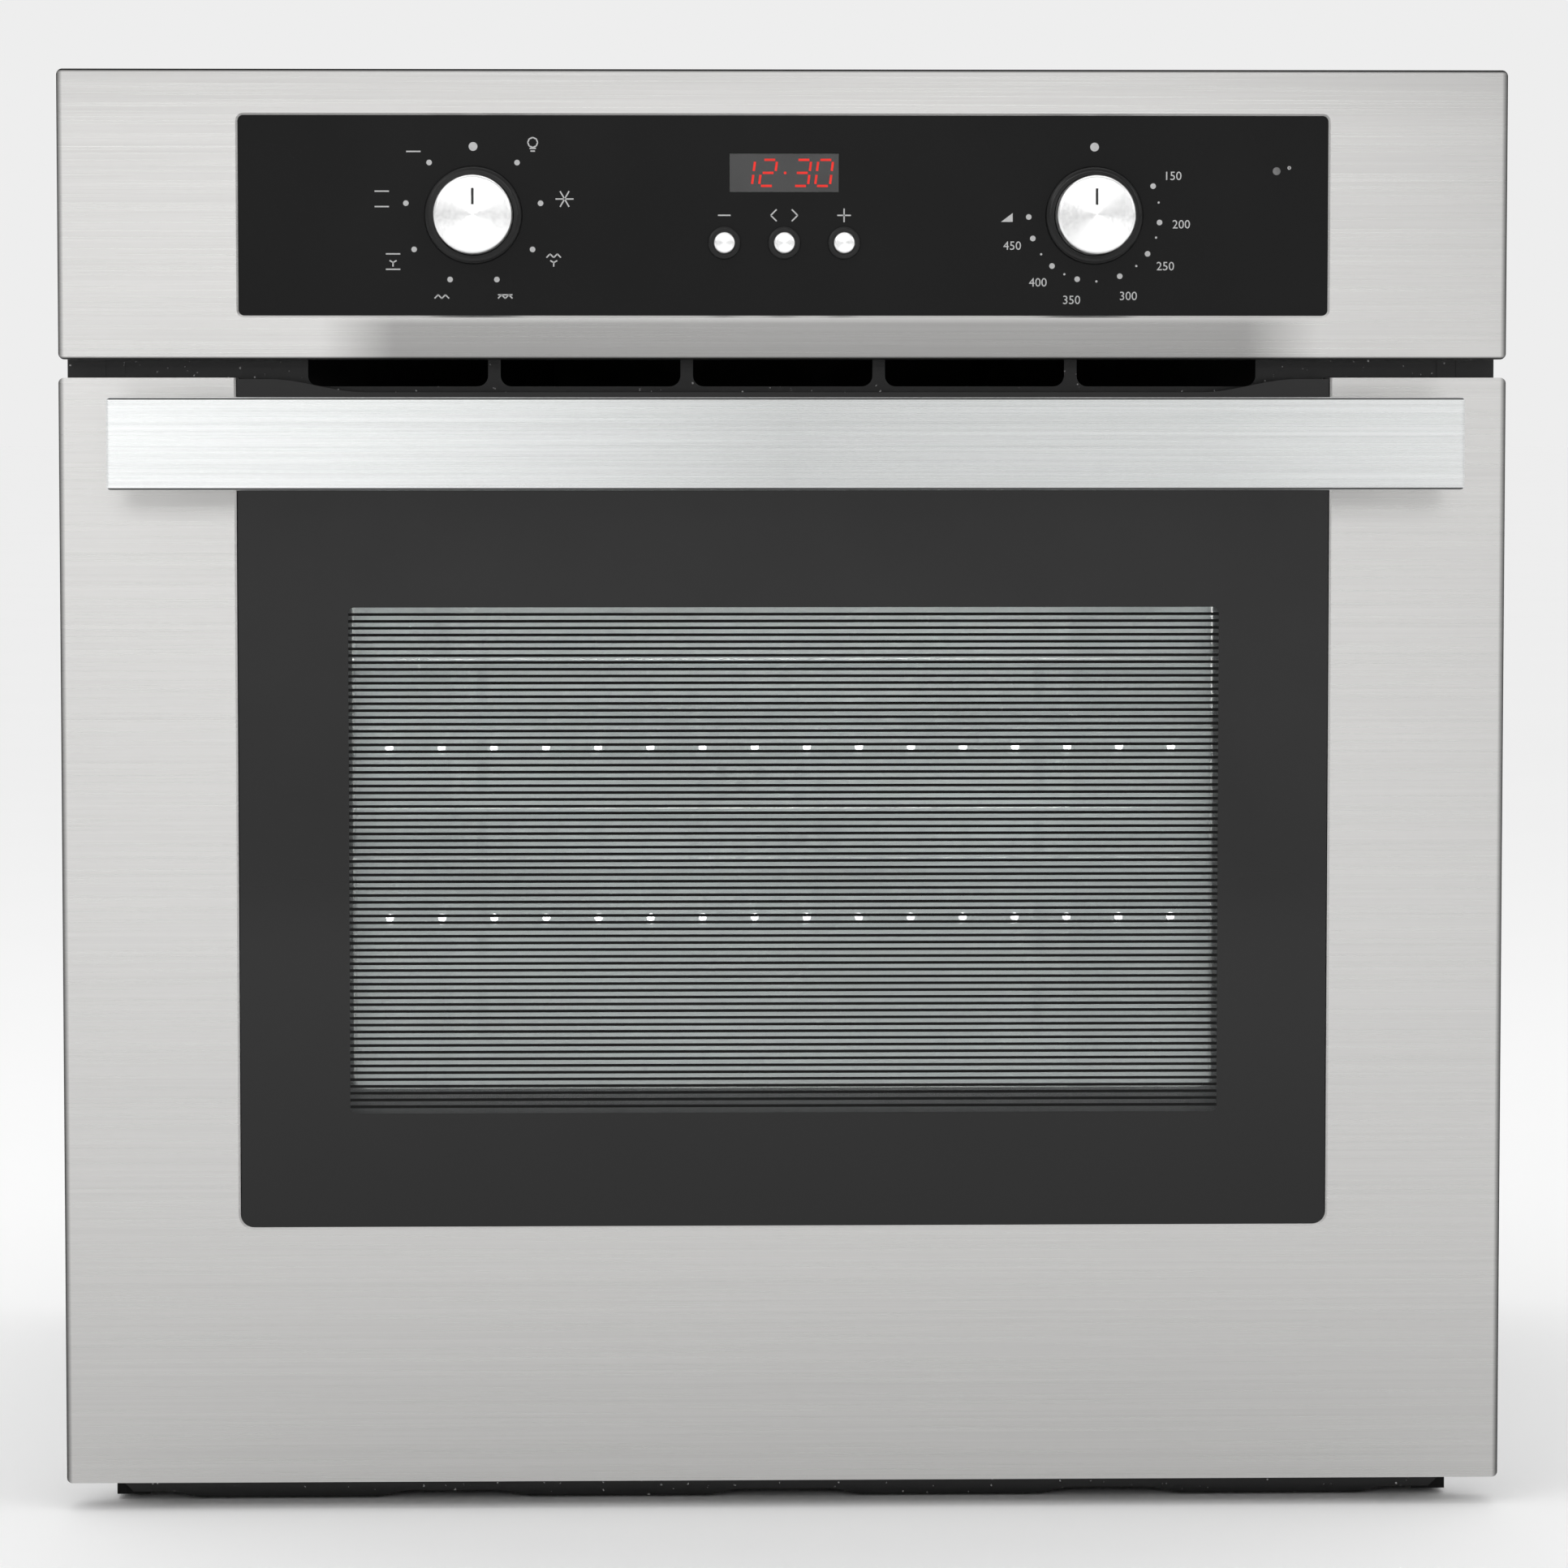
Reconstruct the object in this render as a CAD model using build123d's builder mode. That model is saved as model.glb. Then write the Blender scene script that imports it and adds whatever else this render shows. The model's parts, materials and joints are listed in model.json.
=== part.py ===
"""Built-in wall oven with a drop-down glazed door, two wire racks and a knob control panel.

Millimetres. +X to the oven's right as a user faces it, +Y towards its back, +Z up. The origin is
on the floor plane of the oven, under the middle of its outer box, handle included. Most places
are given as a depth: the distance behind the flat front face of the door.
"""

import os

from build123d import *

os.makedirs("parts", exist_ok=True)

# ---- Overall size -------------------------------------------------------------------------
WIDTH = 595.0
HEIGHT = 595.0
BODY_DEPTH = 565.0
HANDLE_REACH = 50.0
SHEET = 1.0
GAP = 0.3

FRONT_Y = (HANDLE_REACH - BODY_DEPTH) / 2

# ---- Control fascia -----------------------------------------------------------------------
FASCIA_BOTTOM = 476.5
FASCIA_DEPTH = 24.0
FASCIA_CORNER = 2.5
CONTROL_WINDOW_WIDTH = 447.5
CONTROL_WINDOW_BOTTOM = 494.4
CONTROL_WINDOW_TOP = 576.3
CONTROL_WINDOW_CORNER = 2.4
EDGE_BEVEL = 0.8
GLASS_FRONT = 1.2

# ---- Knobs, buttons and display -----------------------------------------------------------
KNOB_X = 127.5
KNOB_Z = 535.5
KNOB_RADIUS = 16.2
KNOB_PROUD = 13.0
BEZEL_RADIUS = 20.2
BUTTON_PITCH = 24.6
BUTTON_Z = 524.2
BUTTON_RADIUS = 4.4
BUTTON_BEZEL_RADIUS = 6.8
DISPLAY_WIDTH = 44.8
DISPLAY_BOTTOM = 545.0
DISPLAY_TOP = 560.7
INDICATOR_X = 202.5
INDICATOR_Z = 553.7

# ---- Door ---------------------------------------------------------------------------------
DOOR_BOTTOM = 11.5
DOOR_TOP = 469.0
DOOR_CORNER = 2.3
SKIN_DEPTH = 20.0
DOOR_GLASS_OPENING = 450.0
DOOR_GLASS_BOTTOM = 118.0
DOOR_OPENING_CORNER = 5.5
HINGE_DEPTH = 10.0
HINGE_Z = 16.0
HINGE_X = 260.0
HINGE_PIN_RADIUS = 4.0
HANDLE_LENGTH = 548.0
HANDLE_BOTTOM = 423.7
HANDLE_TOP = 461.1
HANDLE_THICKNESS = 14.0
HANDLE_SCREW_RADIUS = 2.5
POST_X = 255.0

# ---- Cavity and casing --------------------------------------------------------------------
FLANGE_FRONT = 25.0
FLANGE_THICKNESS = 1.5
FLANGE_BACK = FLANGE_FRONT + FLANGE_THICKNESS
FLANGE_WIDTH = 592.0
CABINET_HOLE_X = 288.0
CABINET_HOLE_Z = (120.0, 420.0)
CABINET_HOLE_RADIUS = 2.5
CAVITY_WIDTH = 440.0
CAVITY_FLOOR = 72.0
CAVITY_CEILING = 412.0
CAVITY_BACK = 475.0
CAVITY_CORNER = 12.0
INSULATION = 24.0
CASING_WIDTH = 558.0
CASING_TOP = 587.0
CASING_BACK = 563.0
BASE_FRONT = 45.0
BASE_BACK = 560.0

# ---- Racks --------------------------------------------------------------------------------
RACK_WIRE_Z = (241.5, 313.6)
RACK_FRONT = 57.0
RACK_BACK = 425.0
RACK_WIRE_RADIUS = 1.6
RACK_ROD_RADIUS = 2.6
CROSS_ROD_RADIUS = 2.4
RISER_RADIUS = 1.3
RACK_WIRE_PITCH = 22.0
RACK_WIRES = 18
RACK_SIDE_X = 209.0
RACK_STOP_RISE = 20.0
GUIDE_PITCH = 36.0

# ---- Fans ---------------------------------------------------------------------------------
FAN_Z = 242.0
FAN_RADIUS = 75.0
FAN_BLADES = 10
BAFFLE_FRONT = 436.0
BLOWER_DEPTH = 350.0
BLOWER_Z = 520.0
BLOWER_RADIUS = 28.0
BLOWER_HALF_LENGTH = 90.0
BLOWER_BLADES = 24

MID_FASCIA_Z = (FASCIA_BOTTOM + HEIGHT) / 2
MID_WINDOW_Z = (CONTROL_WINDOW_BOTTOM + CONTROL_WINDOW_TOP) / 2
MID_DOOR_Z = (DOOR_BOTTOM + DOOR_TOP) / 2
MID_CAVITY_Z = (CAVITY_FLOOR + CAVITY_CEILING) / 2
CAVITY_HEIGHT = CAVITY_CEILING - CAVITY_FLOOR
HANDLE_Z = (HANDLE_BOTTOM + HANDLE_TOP) / 2
RACK_ROD_DROP = RACK_WIRE_RADIUS + CROSS_ROD_RADIUS - GAP


def facing(depth):
    """The upright plane at this depth, looked at from the front: local x is X and local y is Z."""
    return Plane.XZ.offset(-(FRONT_Y + depth))


def place(x, depth, z):
    """The point at this X, depth and Z."""
    return (x, FRONT_Y + depth, z)


# ---- Front flange: the enamelled plate around the cavity, with a strip that meets the cabinet ----
SLOT_WIDTH = 74.5
SLOT_PITCH = 79.7
SLOT_BOTTOM = 465.4
SLOT_TOP = 481.0
SLOT_CORNER = 4.5
SLOTS = 5
FLANGE_BOTTOM = 10.5
FLANGE_TOP = 588.0
HINGE_SLOT_WIDTH = 14.0
HINGE_SLOT_TOP = 30.0
FLANGE_RIB_X = (273.0, 281.0)
FLANGE_RIB_WIDTH = 1.6
FLANGE_RIB_HEIGHT = 0.8
FLANGE_RIB_BOTTOM = 60.0
FLANGE_RIB_TOP = 478.0
FLANGE_WINDOW_BOTTOM = 496.0
FLANGE_WINDOW_TOP = 575.0
FLANGE_WINDOW_WIDTH = 470.0
STRIP_INNER_X = 282.0
STRIP_BOTTOM = 40.0
STRIP_TOP = 460.0
STRIP_THICKNESS = 0.6

with BuildPart() as front_flange:
    with BuildSketch(facing(FLANGE_FRONT)):
        with Locations((0, (FLANGE_BOTTOM + FLANGE_TOP) / 2)):
            RectangleRounded(FLANGE_WIDTH, FLANGE_TOP - FLANGE_BOTTOM, FASCIA_CORNER)
        with Locations((0, MID_CAVITY_Z)):
            RectangleRounded(CAVITY_WIDTH, CAVITY_HEIGHT, CAVITY_CORNER, mode=Mode.SUBTRACT)
        with Locations((0, (SLOT_BOTTOM + SLOT_TOP) / 2)):
            with GridLocations(SLOT_PITCH, 0, SLOTS, 1):
                RectangleRounded(SLOT_WIDTH, SLOT_TOP - SLOT_BOTTOM, SLOT_CORNER, mode=Mode.SUBTRACT)
        with Locations((0, (FLANGE_WINDOW_BOTTOM + FLANGE_WINDOW_TOP) / 2)):
            Rectangle(FLANGE_WINDOW_WIDTH, FLANGE_WINDOW_TOP - FLANGE_WINDOW_BOTTOM, mode=Mode.SUBTRACT)
        for side in (-1, 1):
            with Locations((side * HINGE_X, (FLANGE_BOTTOM + HINGE_SLOT_TOP) / 2)):
                Rectangle(HINGE_SLOT_WIDTH, HINGE_SLOT_TOP - FLANGE_BOTTOM, mode=Mode.SUBTRACT)
            for hole_z in CABINET_HOLE_Z:
                with Locations((side * CABINET_HOLE_X, hole_z)):
                    Circle(CABINET_HOLE_RADIUS, mode=Mode.SUBTRACT)
    extrude(amount=-FLANGE_THICKNESS)
    with BuildSketch(facing(FLANGE_FRONT)):
        for side in (-1, 1):
            for rib_x in FLANGE_RIB_X:
                with Locations((side * rib_x, (FLANGE_RIB_BOTTOM + FLANGE_RIB_TOP) / 2)):
                    SlotOverall(FLANGE_RIB_TOP - FLANGE_RIB_BOTTOM, FLANGE_RIB_WIDTH, rotation=90)
    extrude(amount=FLANGE_RIB_HEIGHT)
    with BuildSketch(facing(FLANGE_BACK)):
        for side in (-1, 1):
            with Locations((side * (STRIP_INNER_X + FLANGE_WIDTH / 2) / 2, (STRIP_BOTTOM + STRIP_TOP) / 2)):
                Rectangle(FLANGE_WIDTH / 2 - STRIP_INNER_X, STRIP_TOP - STRIP_BOTTOM)
            for hole_z in CABINET_HOLE_Z:
                with Locations((side * CABINET_HOLE_X, hole_z)):
                    Circle(CABINET_HOLE_RADIUS, mode=Mode.SUBTRACT)
    extrude(amount=-STRIP_THICKNESS)

# ---- Bottom trim: the strip under the door, with four scoops that let air in ----------------
TRIM_BOTTOM = 3.3
TRIM_TOP = 10.2
SHELF_WIDTH = 510.0
TRIM_WIDTH = 544.0
TRIM_WIDE = 558.0
TRIM_THICKNESS = 1.2
TRIM_SHELF_BACK = 44.5
SCOOP_CENTRES = (-207.0, -68.5, 70.0, 205.0)
SCOOP_WIDTH = 102.0
SCOOP_FLAT = 72.0
SCOOP_BOTTOM = 0.9

with BuildPart() as bottom_trim:
    with BuildSketch(facing(FLANGE_FRONT)):
        with BuildLine():
            Polyline(
                (-TRIM_WIDTH / 2, TRIM_BOTTOM),
                (TRIM_WIDTH / 2, TRIM_BOTTOM),
                (TRIM_WIDE / 2, TRIM_TOP),
                (-TRIM_WIDE / 2, TRIM_TOP),
                close=True,
            )
        make_face()
        for scoop_x in SCOOP_CENTRES:
            with BuildLine():
                left_ramp = Spline(
                    (scoop_x - SCOOP_WIDTH / 2, TRIM_BOTTOM),
                    (scoop_x - SCOOP_FLAT / 2, SCOOP_BOTTOM),
                    tangents=((1, 0), (1, 0)),
                )
                floor_line = Line(left_ramp @ 1, (scoop_x + SCOOP_FLAT / 2, SCOOP_BOTTOM))
                right_ramp = Spline(
                    floor_line @ 1,
                    (scoop_x + SCOOP_WIDTH / 2, TRIM_BOTTOM),
                    tangents=((1, 0), (1, 0)),
                )
                Polyline(
                    right_ramp @ 1,
                    (scoop_x + SCOOP_WIDTH / 2, TRIM_BOTTOM + SHEET),
                    (scoop_x - SCOOP_WIDTH / 2, TRIM_BOTTOM + SHEET),
                    left_ramp @ 0,
                )
            make_face()
    extrude(amount=-TRIM_THICKNESS)
    with BuildSketch(facing(FLANGE_FRONT)):
        with Locations((0, TRIM_BOTTOM + SHEET / 2)):
            Rectangle(SHELF_WIDTH, SHEET)
    extrude(amount=-(TRIM_SHELF_BACK - FLANGE_FRONT))

# ---- Cavity liner: the enamelled box that holds the food ------------------------------------
MOTOR_HOLE_RADIUS = 7.0
LAMP_X = 186.0
LAMP_Z = 376.0
LAMP_HOLE_RADIUS = 17.0
SENSOR_X = -150.0
SENSOR_Z = 380.0
SENSOR_RADIUS = 3.0

with BuildPart() as cavity_liner:
    with BuildSketch(facing(FLANGE_BACK)):
        with Locations((0, MID_CAVITY_Z)):
            RectangleRounded(CAVITY_WIDTH + 2 * SHEET, CAVITY_HEIGHT + 2 * SHEET, CAVITY_CORNER + SHEET)
    extrude(amount=-(CAVITY_BACK + SHEET - FLANGE_BACK))
    with BuildSketch(facing(FLANGE_BACK)):
        with Locations((0, MID_CAVITY_Z)):
            RectangleRounded(CAVITY_WIDTH, CAVITY_HEIGHT, CAVITY_CORNER)
    extrude(amount=-(CAVITY_BACK - FLANGE_BACK), mode=Mode.SUBTRACT)
    with BuildSketch(facing(CAVITY_BACK)):
        with Locations((0, FAN_Z)):
            Circle(MOTOR_HOLE_RADIUS)
        with Locations((LAMP_X, LAMP_Z)):
            Circle(LAMP_HOLE_RADIUS)
        with Locations((SENSOR_X, SENSOR_Z)):
            Circle(SENSOR_RADIUS + GAP)
    extrude(amount=-SHEET, mode=Mode.SUBTRACT)

# ---- Insulation: the blanket wrapped around the liner ---------------------------------------
BLANKET_FRONT = 30.0
BLANKET_BACK = CAVITY_BACK + SHEET + INSULATION
MOTOR_CLEAR_RADIUS = 34.0

with BuildPart() as insulation_blanket:
    with BuildSketch(facing(BLANKET_FRONT)):
        with Locations((0, MID_CAVITY_Z)):
            outer_width = CAVITY_WIDTH + 2 * INSULATION
            RectangleRounded(outer_width, CAVITY_HEIGHT + 2 * INSULATION, 2 * CAVITY_CORNER)
    extrude(amount=-(BLANKET_BACK - BLANKET_FRONT))
    with BuildSketch(facing(BLANKET_FRONT)):
        with Locations((0, MID_CAVITY_Z)):
            inner_width = CAVITY_WIDTH + 2 * SHEET + 2 * GAP
            inner_height = CAVITY_HEIGHT + 2 * SHEET + 2 * GAP
            RectangleRounded(inner_width, inner_height, CAVITY_CORNER + SHEET + GAP)
    extrude(amount=-(CAVITY_BACK + SHEET + GAP - BLANKET_FRONT), mode=Mode.SUBTRACT)
    with BuildSketch(facing(CAVITY_BACK)):
        with Locations((0, FAN_Z)):
            Circle(MOTOR_CLEAR_RADIUS)
        with Locations((LAMP_X, LAMP_Z)):
            Circle(LAMP_HOLE_RADIUS + SHEET)
        with Locations((SENSOR_X, SENSOR_Z)):
            Circle(2 * SENSOR_RADIUS)
    extrude(amount=-2 * INSULATION, mode=Mode.SUBTRACT)

# ---- Door gasket: the seal around the cavity mouth ------------------------------------------
GASKET_INSET = 4.0
GASKET_SECTION = 9.0
GASKET_FRONT = 22.0

with BuildPart() as door_gasket:
    with BuildSketch(facing(GASKET_FRONT)):
        with Locations((0, MID_CAVITY_Z)):
            outer_growth = 2 * (GASKET_INSET + GASKET_SECTION)
            RectangleRounded(CAVITY_WIDTH + outer_growth, CAVITY_HEIGHT + outer_growth, 2 * CAVITY_CORNER)
            inner_growth = 2 * GASKET_INSET
            RectangleRounded(
                CAVITY_WIDTH + inner_growth,
                CAVITY_HEIGHT + inner_growth,
                CAVITY_CORNER + GASKET_INSET,
                mode=Mode.SUBTRACT,
            )
    extrude(amount=-(FLANGE_FRONT - GASKET_FRONT))
    fillet(door_gasket.faces().sort_by(Axis.Y)[0].edges(), radius=SHEET)

# ---- Casing: base pan, side panels, top cover and rear panel --------------------------------
WALL_RETURN = 20.0
FRONT_RETURN = 14.0
BASE_WALL = 14.0
SIDE_FRONT = 27.0

with BuildPart() as base_pan:
    with BuildSketch(Plane.XY):
        with Locations((0, FRONT_Y + (BASE_FRONT + BASE_BACK) / 2)):
            Rectangle(CASING_WIDTH - 2 * SHEET - 2 * GAP, BASE_BACK - BASE_FRONT)
    extrude(amount=BASE_WALL)
    offset(amount=-SHEET, openings=base_pan.faces().sort_by(Axis.Z)[-1])

SIDE_FRONT_Y = FRONT_Y + SIDE_FRONT
SIDE_BACK_Y = FRONT_Y + CASING_BACK - SHEET - GAP

with BuildPart() as side_panels:
    with BuildSketch(Plane.XY.offset(2 * SHEET)):
        for side in (-1, 1):
            with BuildLine():
                Polyline(
                    (side * (CASING_WIDTH / 2 - FRONT_RETURN), SIDE_FRONT_Y),
                    (side * CASING_WIDTH / 2, SIDE_FRONT_Y),
                    (side * CASING_WIDTH / 2, SIDE_BACK_Y),
                    (side * (CASING_WIDTH / 2 - WALL_RETURN), SIDE_BACK_Y),
                    (side * (CASING_WIDTH / 2 - WALL_RETURN), SIDE_BACK_Y - SHEET),
                    (side * (CASING_WIDTH / 2 - SHEET), SIDE_BACK_Y - SHEET),
                    (side * (CASING_WIDTH / 2 - SHEET), SIDE_FRONT_Y + SHEET),
                    (side * (CASING_WIDTH / 2 - FRONT_RETURN), SIDE_FRONT_Y + SHEET),
                    close=True,
                )
            make_face()
    extrude(amount=CASING_TOP - 3 * SHEET - GAP)

TOP_SLOT_LENGTH = 60.0
TOP_SLOT_WIDTH = 4.0
TOP_SLOT_PITCH = 78.0
TOP_SLOTS = 5

with BuildPart() as top_cover:
    with BuildSketch(Plane.XY.offset(CASING_TOP - SHEET)):
        with Locations((0, FRONT_Y + (SIDE_FRONT + CASING_BACK - SHEET) / 2)):
            Rectangle(CASING_WIDTH, CASING_BACK - SHEET - SIDE_FRONT - GAP)
        with Locations((0, FRONT_Y + BLOWER_DEPTH + 3 * BLOWER_RADIUS)):
            with GridLocations(TOP_SLOT_PITCH, 3 * TOP_SLOT_WIDTH, TOP_SLOTS, TOP_SLOTS):
                SlotOverall(TOP_SLOT_LENGTH, TOP_SLOT_WIDTH, mode=Mode.SUBTRACT)
    extrude(amount=SHEET)

REAR_SCREW_X = CASING_WIDTH / 2 - WALL_RETURN / 2
REAR_SCREW_Z = (40.0, 200.0, 380.0, 560.0)
REAR_SCREW_RADIUS = 1.9
CONDUIT_X = 205.0
CONDUIT_Z = 540.0
CONDUIT_HOLE_RADIUS = 11.1
REAR_SLOT_LENGTH = 70.0
REAR_SLOT_WIDTH = 4.0
REAR_SLOT_Z = 120.0
REAR_SLOT_PITCH = 91.0
REAR_SLOTS = (4, 6)

with BuildPart() as rear_panel:
    with BuildSketch(facing(CASING_BACK - SHEET)):
        with Locations((0, CASING_TOP / 2 + SHEET)):
            RectangleRounded(CASING_WIDTH, CASING_TOP - 2 * SHEET, 2 * SHEET)
        with Locations((CONDUIT_X, CONDUIT_Z)):
            Circle(CONDUIT_HOLE_RADIUS, mode=Mode.SUBTRACT)
        with Locations((0, REAR_SLOT_Z)):
            with GridLocations(REAR_SLOT_PITCH, 3 * REAR_SLOT_WIDTH, *REAR_SLOTS):
                SlotOverall(REAR_SLOT_LENGTH, REAR_SLOT_WIDTH, mode=Mode.SUBTRACT)
        for side in (-1, 1):
            for screw_z in REAR_SCREW_Z:
                with Locations((side * REAR_SCREW_X, screw_z)):
                    Circle(REAR_SCREW_RADIUS, mode=Mode.SUBTRACT)
    extrude(amount=-SHEET)

SCREW_HEAD_RADIUS = 4.0
SCREW_HEAD_ROUND = 0.8

with BuildPart() as rear_screws:
    with BuildSketch(facing(CASING_BACK - SHEET)):
        for side in (-1, 1):
            for screw_z in REAR_SCREW_Z:
                with Locations((side * REAR_SCREW_X, screw_z)):
                    Circle(REAR_SCREW_RADIUS)
    extrude(amount=-SHEET)
    with BuildSketch(facing(CASING_BACK)):
        for side in (-1, 1):
            for screw_z in REAR_SCREW_Z:
                with Locations((side * REAR_SCREW_X, screw_z)):
                    Circle(SCREW_HEAD_RADIUS)
    extrude(amount=-(BODY_DEPTH - CASING_BACK))
    fillet(rear_screws.faces().group_by(Axis.Y)[-1].edges(), radius=SCREW_HEAD_ROUND)

# ---- Supply entry: terminal box and conduit bushing ------------------------------------------
TERMINAL_WIDTH = 90.0
TERMINAL_HEIGHT = 60.0
TERMINAL_DEPTH = 45.0
BUSHING_BORE_RADIUS = 8.0
BUSHING_LIP_RADIUS = 13.0
BUSHING_FIT = 0.1
BUSHING_REACH = 4.0
TERMINAL_WALL = 2.0

with BuildPart() as conduit_bushing:
    with BuildSketch(facing(CASING_BACK - BUSHING_REACH)):
        with Locations((CONDUIT_X, CONDUIT_Z)):
            Circle(CONDUIT_HOLE_RADIUS - BUSHING_FIT)
    extrude(amount=-BUSHING_REACH)
    with BuildSketch(facing(CASING_BACK)):
        with Locations((CONDUIT_X, CONDUIT_Z)):
            Circle(BUSHING_LIP_RADIUS)
    extrude(amount=-(BODY_DEPTH - CASING_BACK))
    fillet(conduit_bushing.faces().sort_by(Axis.Y)[-1].edges(), radius=SHEET)
    with BuildSketch(facing(CASING_BACK - BUSHING_REACH)):
        with Locations((CONDUIT_X, CONDUIT_Z)):
            Circle(BUSHING_BORE_RADIUS)
    extrude(amount=-2 * BUSHING_REACH, mode=Mode.SUBTRACT)

with BuildPart() as terminal_box:
    with BuildSketch(facing(CASING_BACK - SHEET - BUSHING_REACH - TERMINAL_DEPTH)):
        with Locations((CONDUIT_X, CONDUIT_Z)):
            RectangleRounded(TERMINAL_WIDTH, TERMINAL_HEIGHT, 2 * TERMINAL_WALL)
    extrude(amount=-TERMINAL_DEPTH)
    offset(amount=-TERMINAL_WALL, openings=terminal_box.faces().sort_by(Axis.Y)[-1])

# ---- Heating elements: tubes bent to shape under the roof, over the floor and round the fan ---
TUBE_RADIUS = 3.3
BROIL_Z = 394.0
BAKE_Z = 86.0
ELEMENT_LEGS = 4
ELEMENT_SPAN = 280.0
ELEMENT_FRONT = 90.0
ELEMENT_BEND = 24.0
CONVECTION_RING_RADIUS = 92.0
RING_DEPTH = 455.0


def hairpin(z, legs, span, back_depth):
    """A flat tube that runs to the front and back in turns, with both ends at the back wall."""
    pitch = span / (legs - 1)
    corners = []
    for leg in range(legs):
        leg_x = -span / 2 + leg * pitch
        leg_back = back_depth if leg in (0, legs - 1) else back_depth - 3 * ELEMENT_BEND
        ends = [(leg_x, leg_back), (leg_x, ELEMENT_FRONT)]
        corners += ends if leg % 2 == 0 else ends[::-1]
    points = [place(x, depth, z) for x, depth in corners]
    with BuildPart() as element:
        with BuildLine() as path:
            FilletPolyline(*points, radius=ELEMENT_BEND)
        with BuildSketch(Plane(origin=path.line @ 0, z_dir=path.line % 0)):
            Circle(TUBE_RADIUS)
        sweep()
    return element


broil_element = hairpin(BROIL_Z, ELEMENT_LEGS, ELEMENT_SPAN, CAVITY_BACK - GAP)
bake_element = hairpin(BAKE_Z, ELEMENT_LEGS, ELEMENT_SPAN, CAVITY_BACK - GAP)

with BuildPart() as convection_element:
    with Locations(Location(place(0, RING_DEPTH, FAN_Z), (90, 0, 0))):
        Torus(CONVECTION_RING_RADIUS, TUBE_RADIUS)

# ---- Convection: baffle, fan and motor -------------------------------------------------------
BAFFLE_WIDTH = 300.0
BAFFLE_HEIGHT = 252.0
INLET_HOLE_RADIUS = 3.0
INLET_HOLE_PITCH = 11.0
OUTLET_SLOT_LENGTH = 26.0
OUTLET_SLOT_WIDTH = 5.0
OUTLET_SLOT_X = 135.0
OUTLET_SLOT_PITCH = 40.0
OUTLET_SLOTS = 5
INLET_ROWS = 7
FAN_FRONT = 444.0
FAN_DISC = 1.5
FAN_BLADE_DEPTH = 16.0
FAN_HUB_RADIUS = 9.0
FAN_HUB_RECESS = 6.0
FAN_BLADE_MIDDLE = 51.0
FAN_BLADE_LENGTH = 42.0
FAN_BLADE_SWEEP = 25
FAN_SHAFT_LENGTH = 60.0
SHAFT_RADIUS = 4.0
SHAFT_FIT = 0.05

with BuildPart() as fan_baffle:
    with BuildSketch(facing(BAFFLE_FRONT)):
        with Locations((0, FAN_Z)):
            RectangleRounded(BAFFLE_WIDTH, BAFFLE_HEIGHT, CAVITY_CORNER)
    extrude(amount=-(CAVITY_BACK - BAFFLE_FRONT))
    offset(amount=-SHEET, openings=fan_baffle.faces().sort_by(Axis.Y)[-1])
    with BuildSketch(facing(BAFFLE_FRONT)):
        with Locations((0, FAN_Z)):
            with HexLocations(INLET_HOLE_PITCH / 2, INLET_ROWS, INLET_ROWS):
                Circle(INLET_HOLE_RADIUS)
            with GridLocations(2 * OUTLET_SLOT_X, OUTLET_SLOT_PITCH, 2, OUTLET_SLOTS):
                SlotOverall(OUTLET_SLOT_LENGTH, OUTLET_SLOT_WIDTH, rotation=90)
    extrude(amount=-SHEET, mode=Mode.SUBTRACT)

with BuildPart() as convection_fan:
    with BuildSketch(facing(FAN_FRONT + FAN_BLADE_DEPTH)):
        with Locations((0, FAN_Z)):
            Circle(FAN_RADIUS)
    extrude(amount=-FAN_DISC)
    with BuildSketch(facing(FAN_FRONT)):
        with Locations((0, FAN_Z)):
            with PolarLocations(FAN_BLADE_MIDDLE, FAN_BLADES):
                Rectangle(FAN_BLADE_LENGTH, FAN_DISC, rotation=FAN_BLADE_SWEEP)
    extrude(amount=-FAN_BLADE_DEPTH)
    with BuildSketch(facing(FAN_FRONT + FAN_HUB_RECESS)):
        with Locations((0, FAN_Z)):
            Circle(FAN_HUB_RADIUS)
    extrude(amount=-(FAN_BLADE_DEPTH - FAN_HUB_RECESS))
    with BuildSketch(facing(FAN_FRONT + FAN_BLADE_DEPTH)):
        with Locations((0, FAN_Z)):
            Circle(SHAFT_RADIUS)
    extrude(amount=-FAN_SHAFT_LENGTH)

MOTOR_FRONT = BLANKET_BACK + 2.0
MOTOR_RADIUS = 30.0
MOTOR_LENGTH = 46.0
MOTOR_PLATE_WIDTH = 110.0
MOTOR_PLATE_HEIGHT = 72.0
MOTOR_PLATE_CORNER = 6.0
MOTOR_ROUND = 3.0
MOTOR_BORE_DEPTH = 30.0

with BuildPart() as convection_motor:
    with BuildSketch(facing(MOTOR_FRONT)):
        with Locations((0, FAN_Z)):
            RectangleRounded(MOTOR_PLATE_WIDTH, MOTOR_PLATE_HEIGHT, MOTOR_PLATE_CORNER)
    extrude(amount=-2 * SHEET)
    with BuildSketch(facing(MOTOR_FRONT)):
        with Locations((0, FAN_Z)):
            Circle(MOTOR_RADIUS)
    extrude(amount=-MOTOR_LENGTH)
    fillet(convection_motor.faces().sort_by(Axis.Y)[-1].edges(), radius=MOTOR_ROUND)
    with BuildSketch(facing(MOTOR_FRONT)):
        with Locations((0, FAN_Z)):
            Circle(SHAFT_RADIUS + SHAFT_FIT)
    extrude(amount=-MOTOR_BORE_DEPTH, mode=Mode.SUBTRACT)

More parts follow.
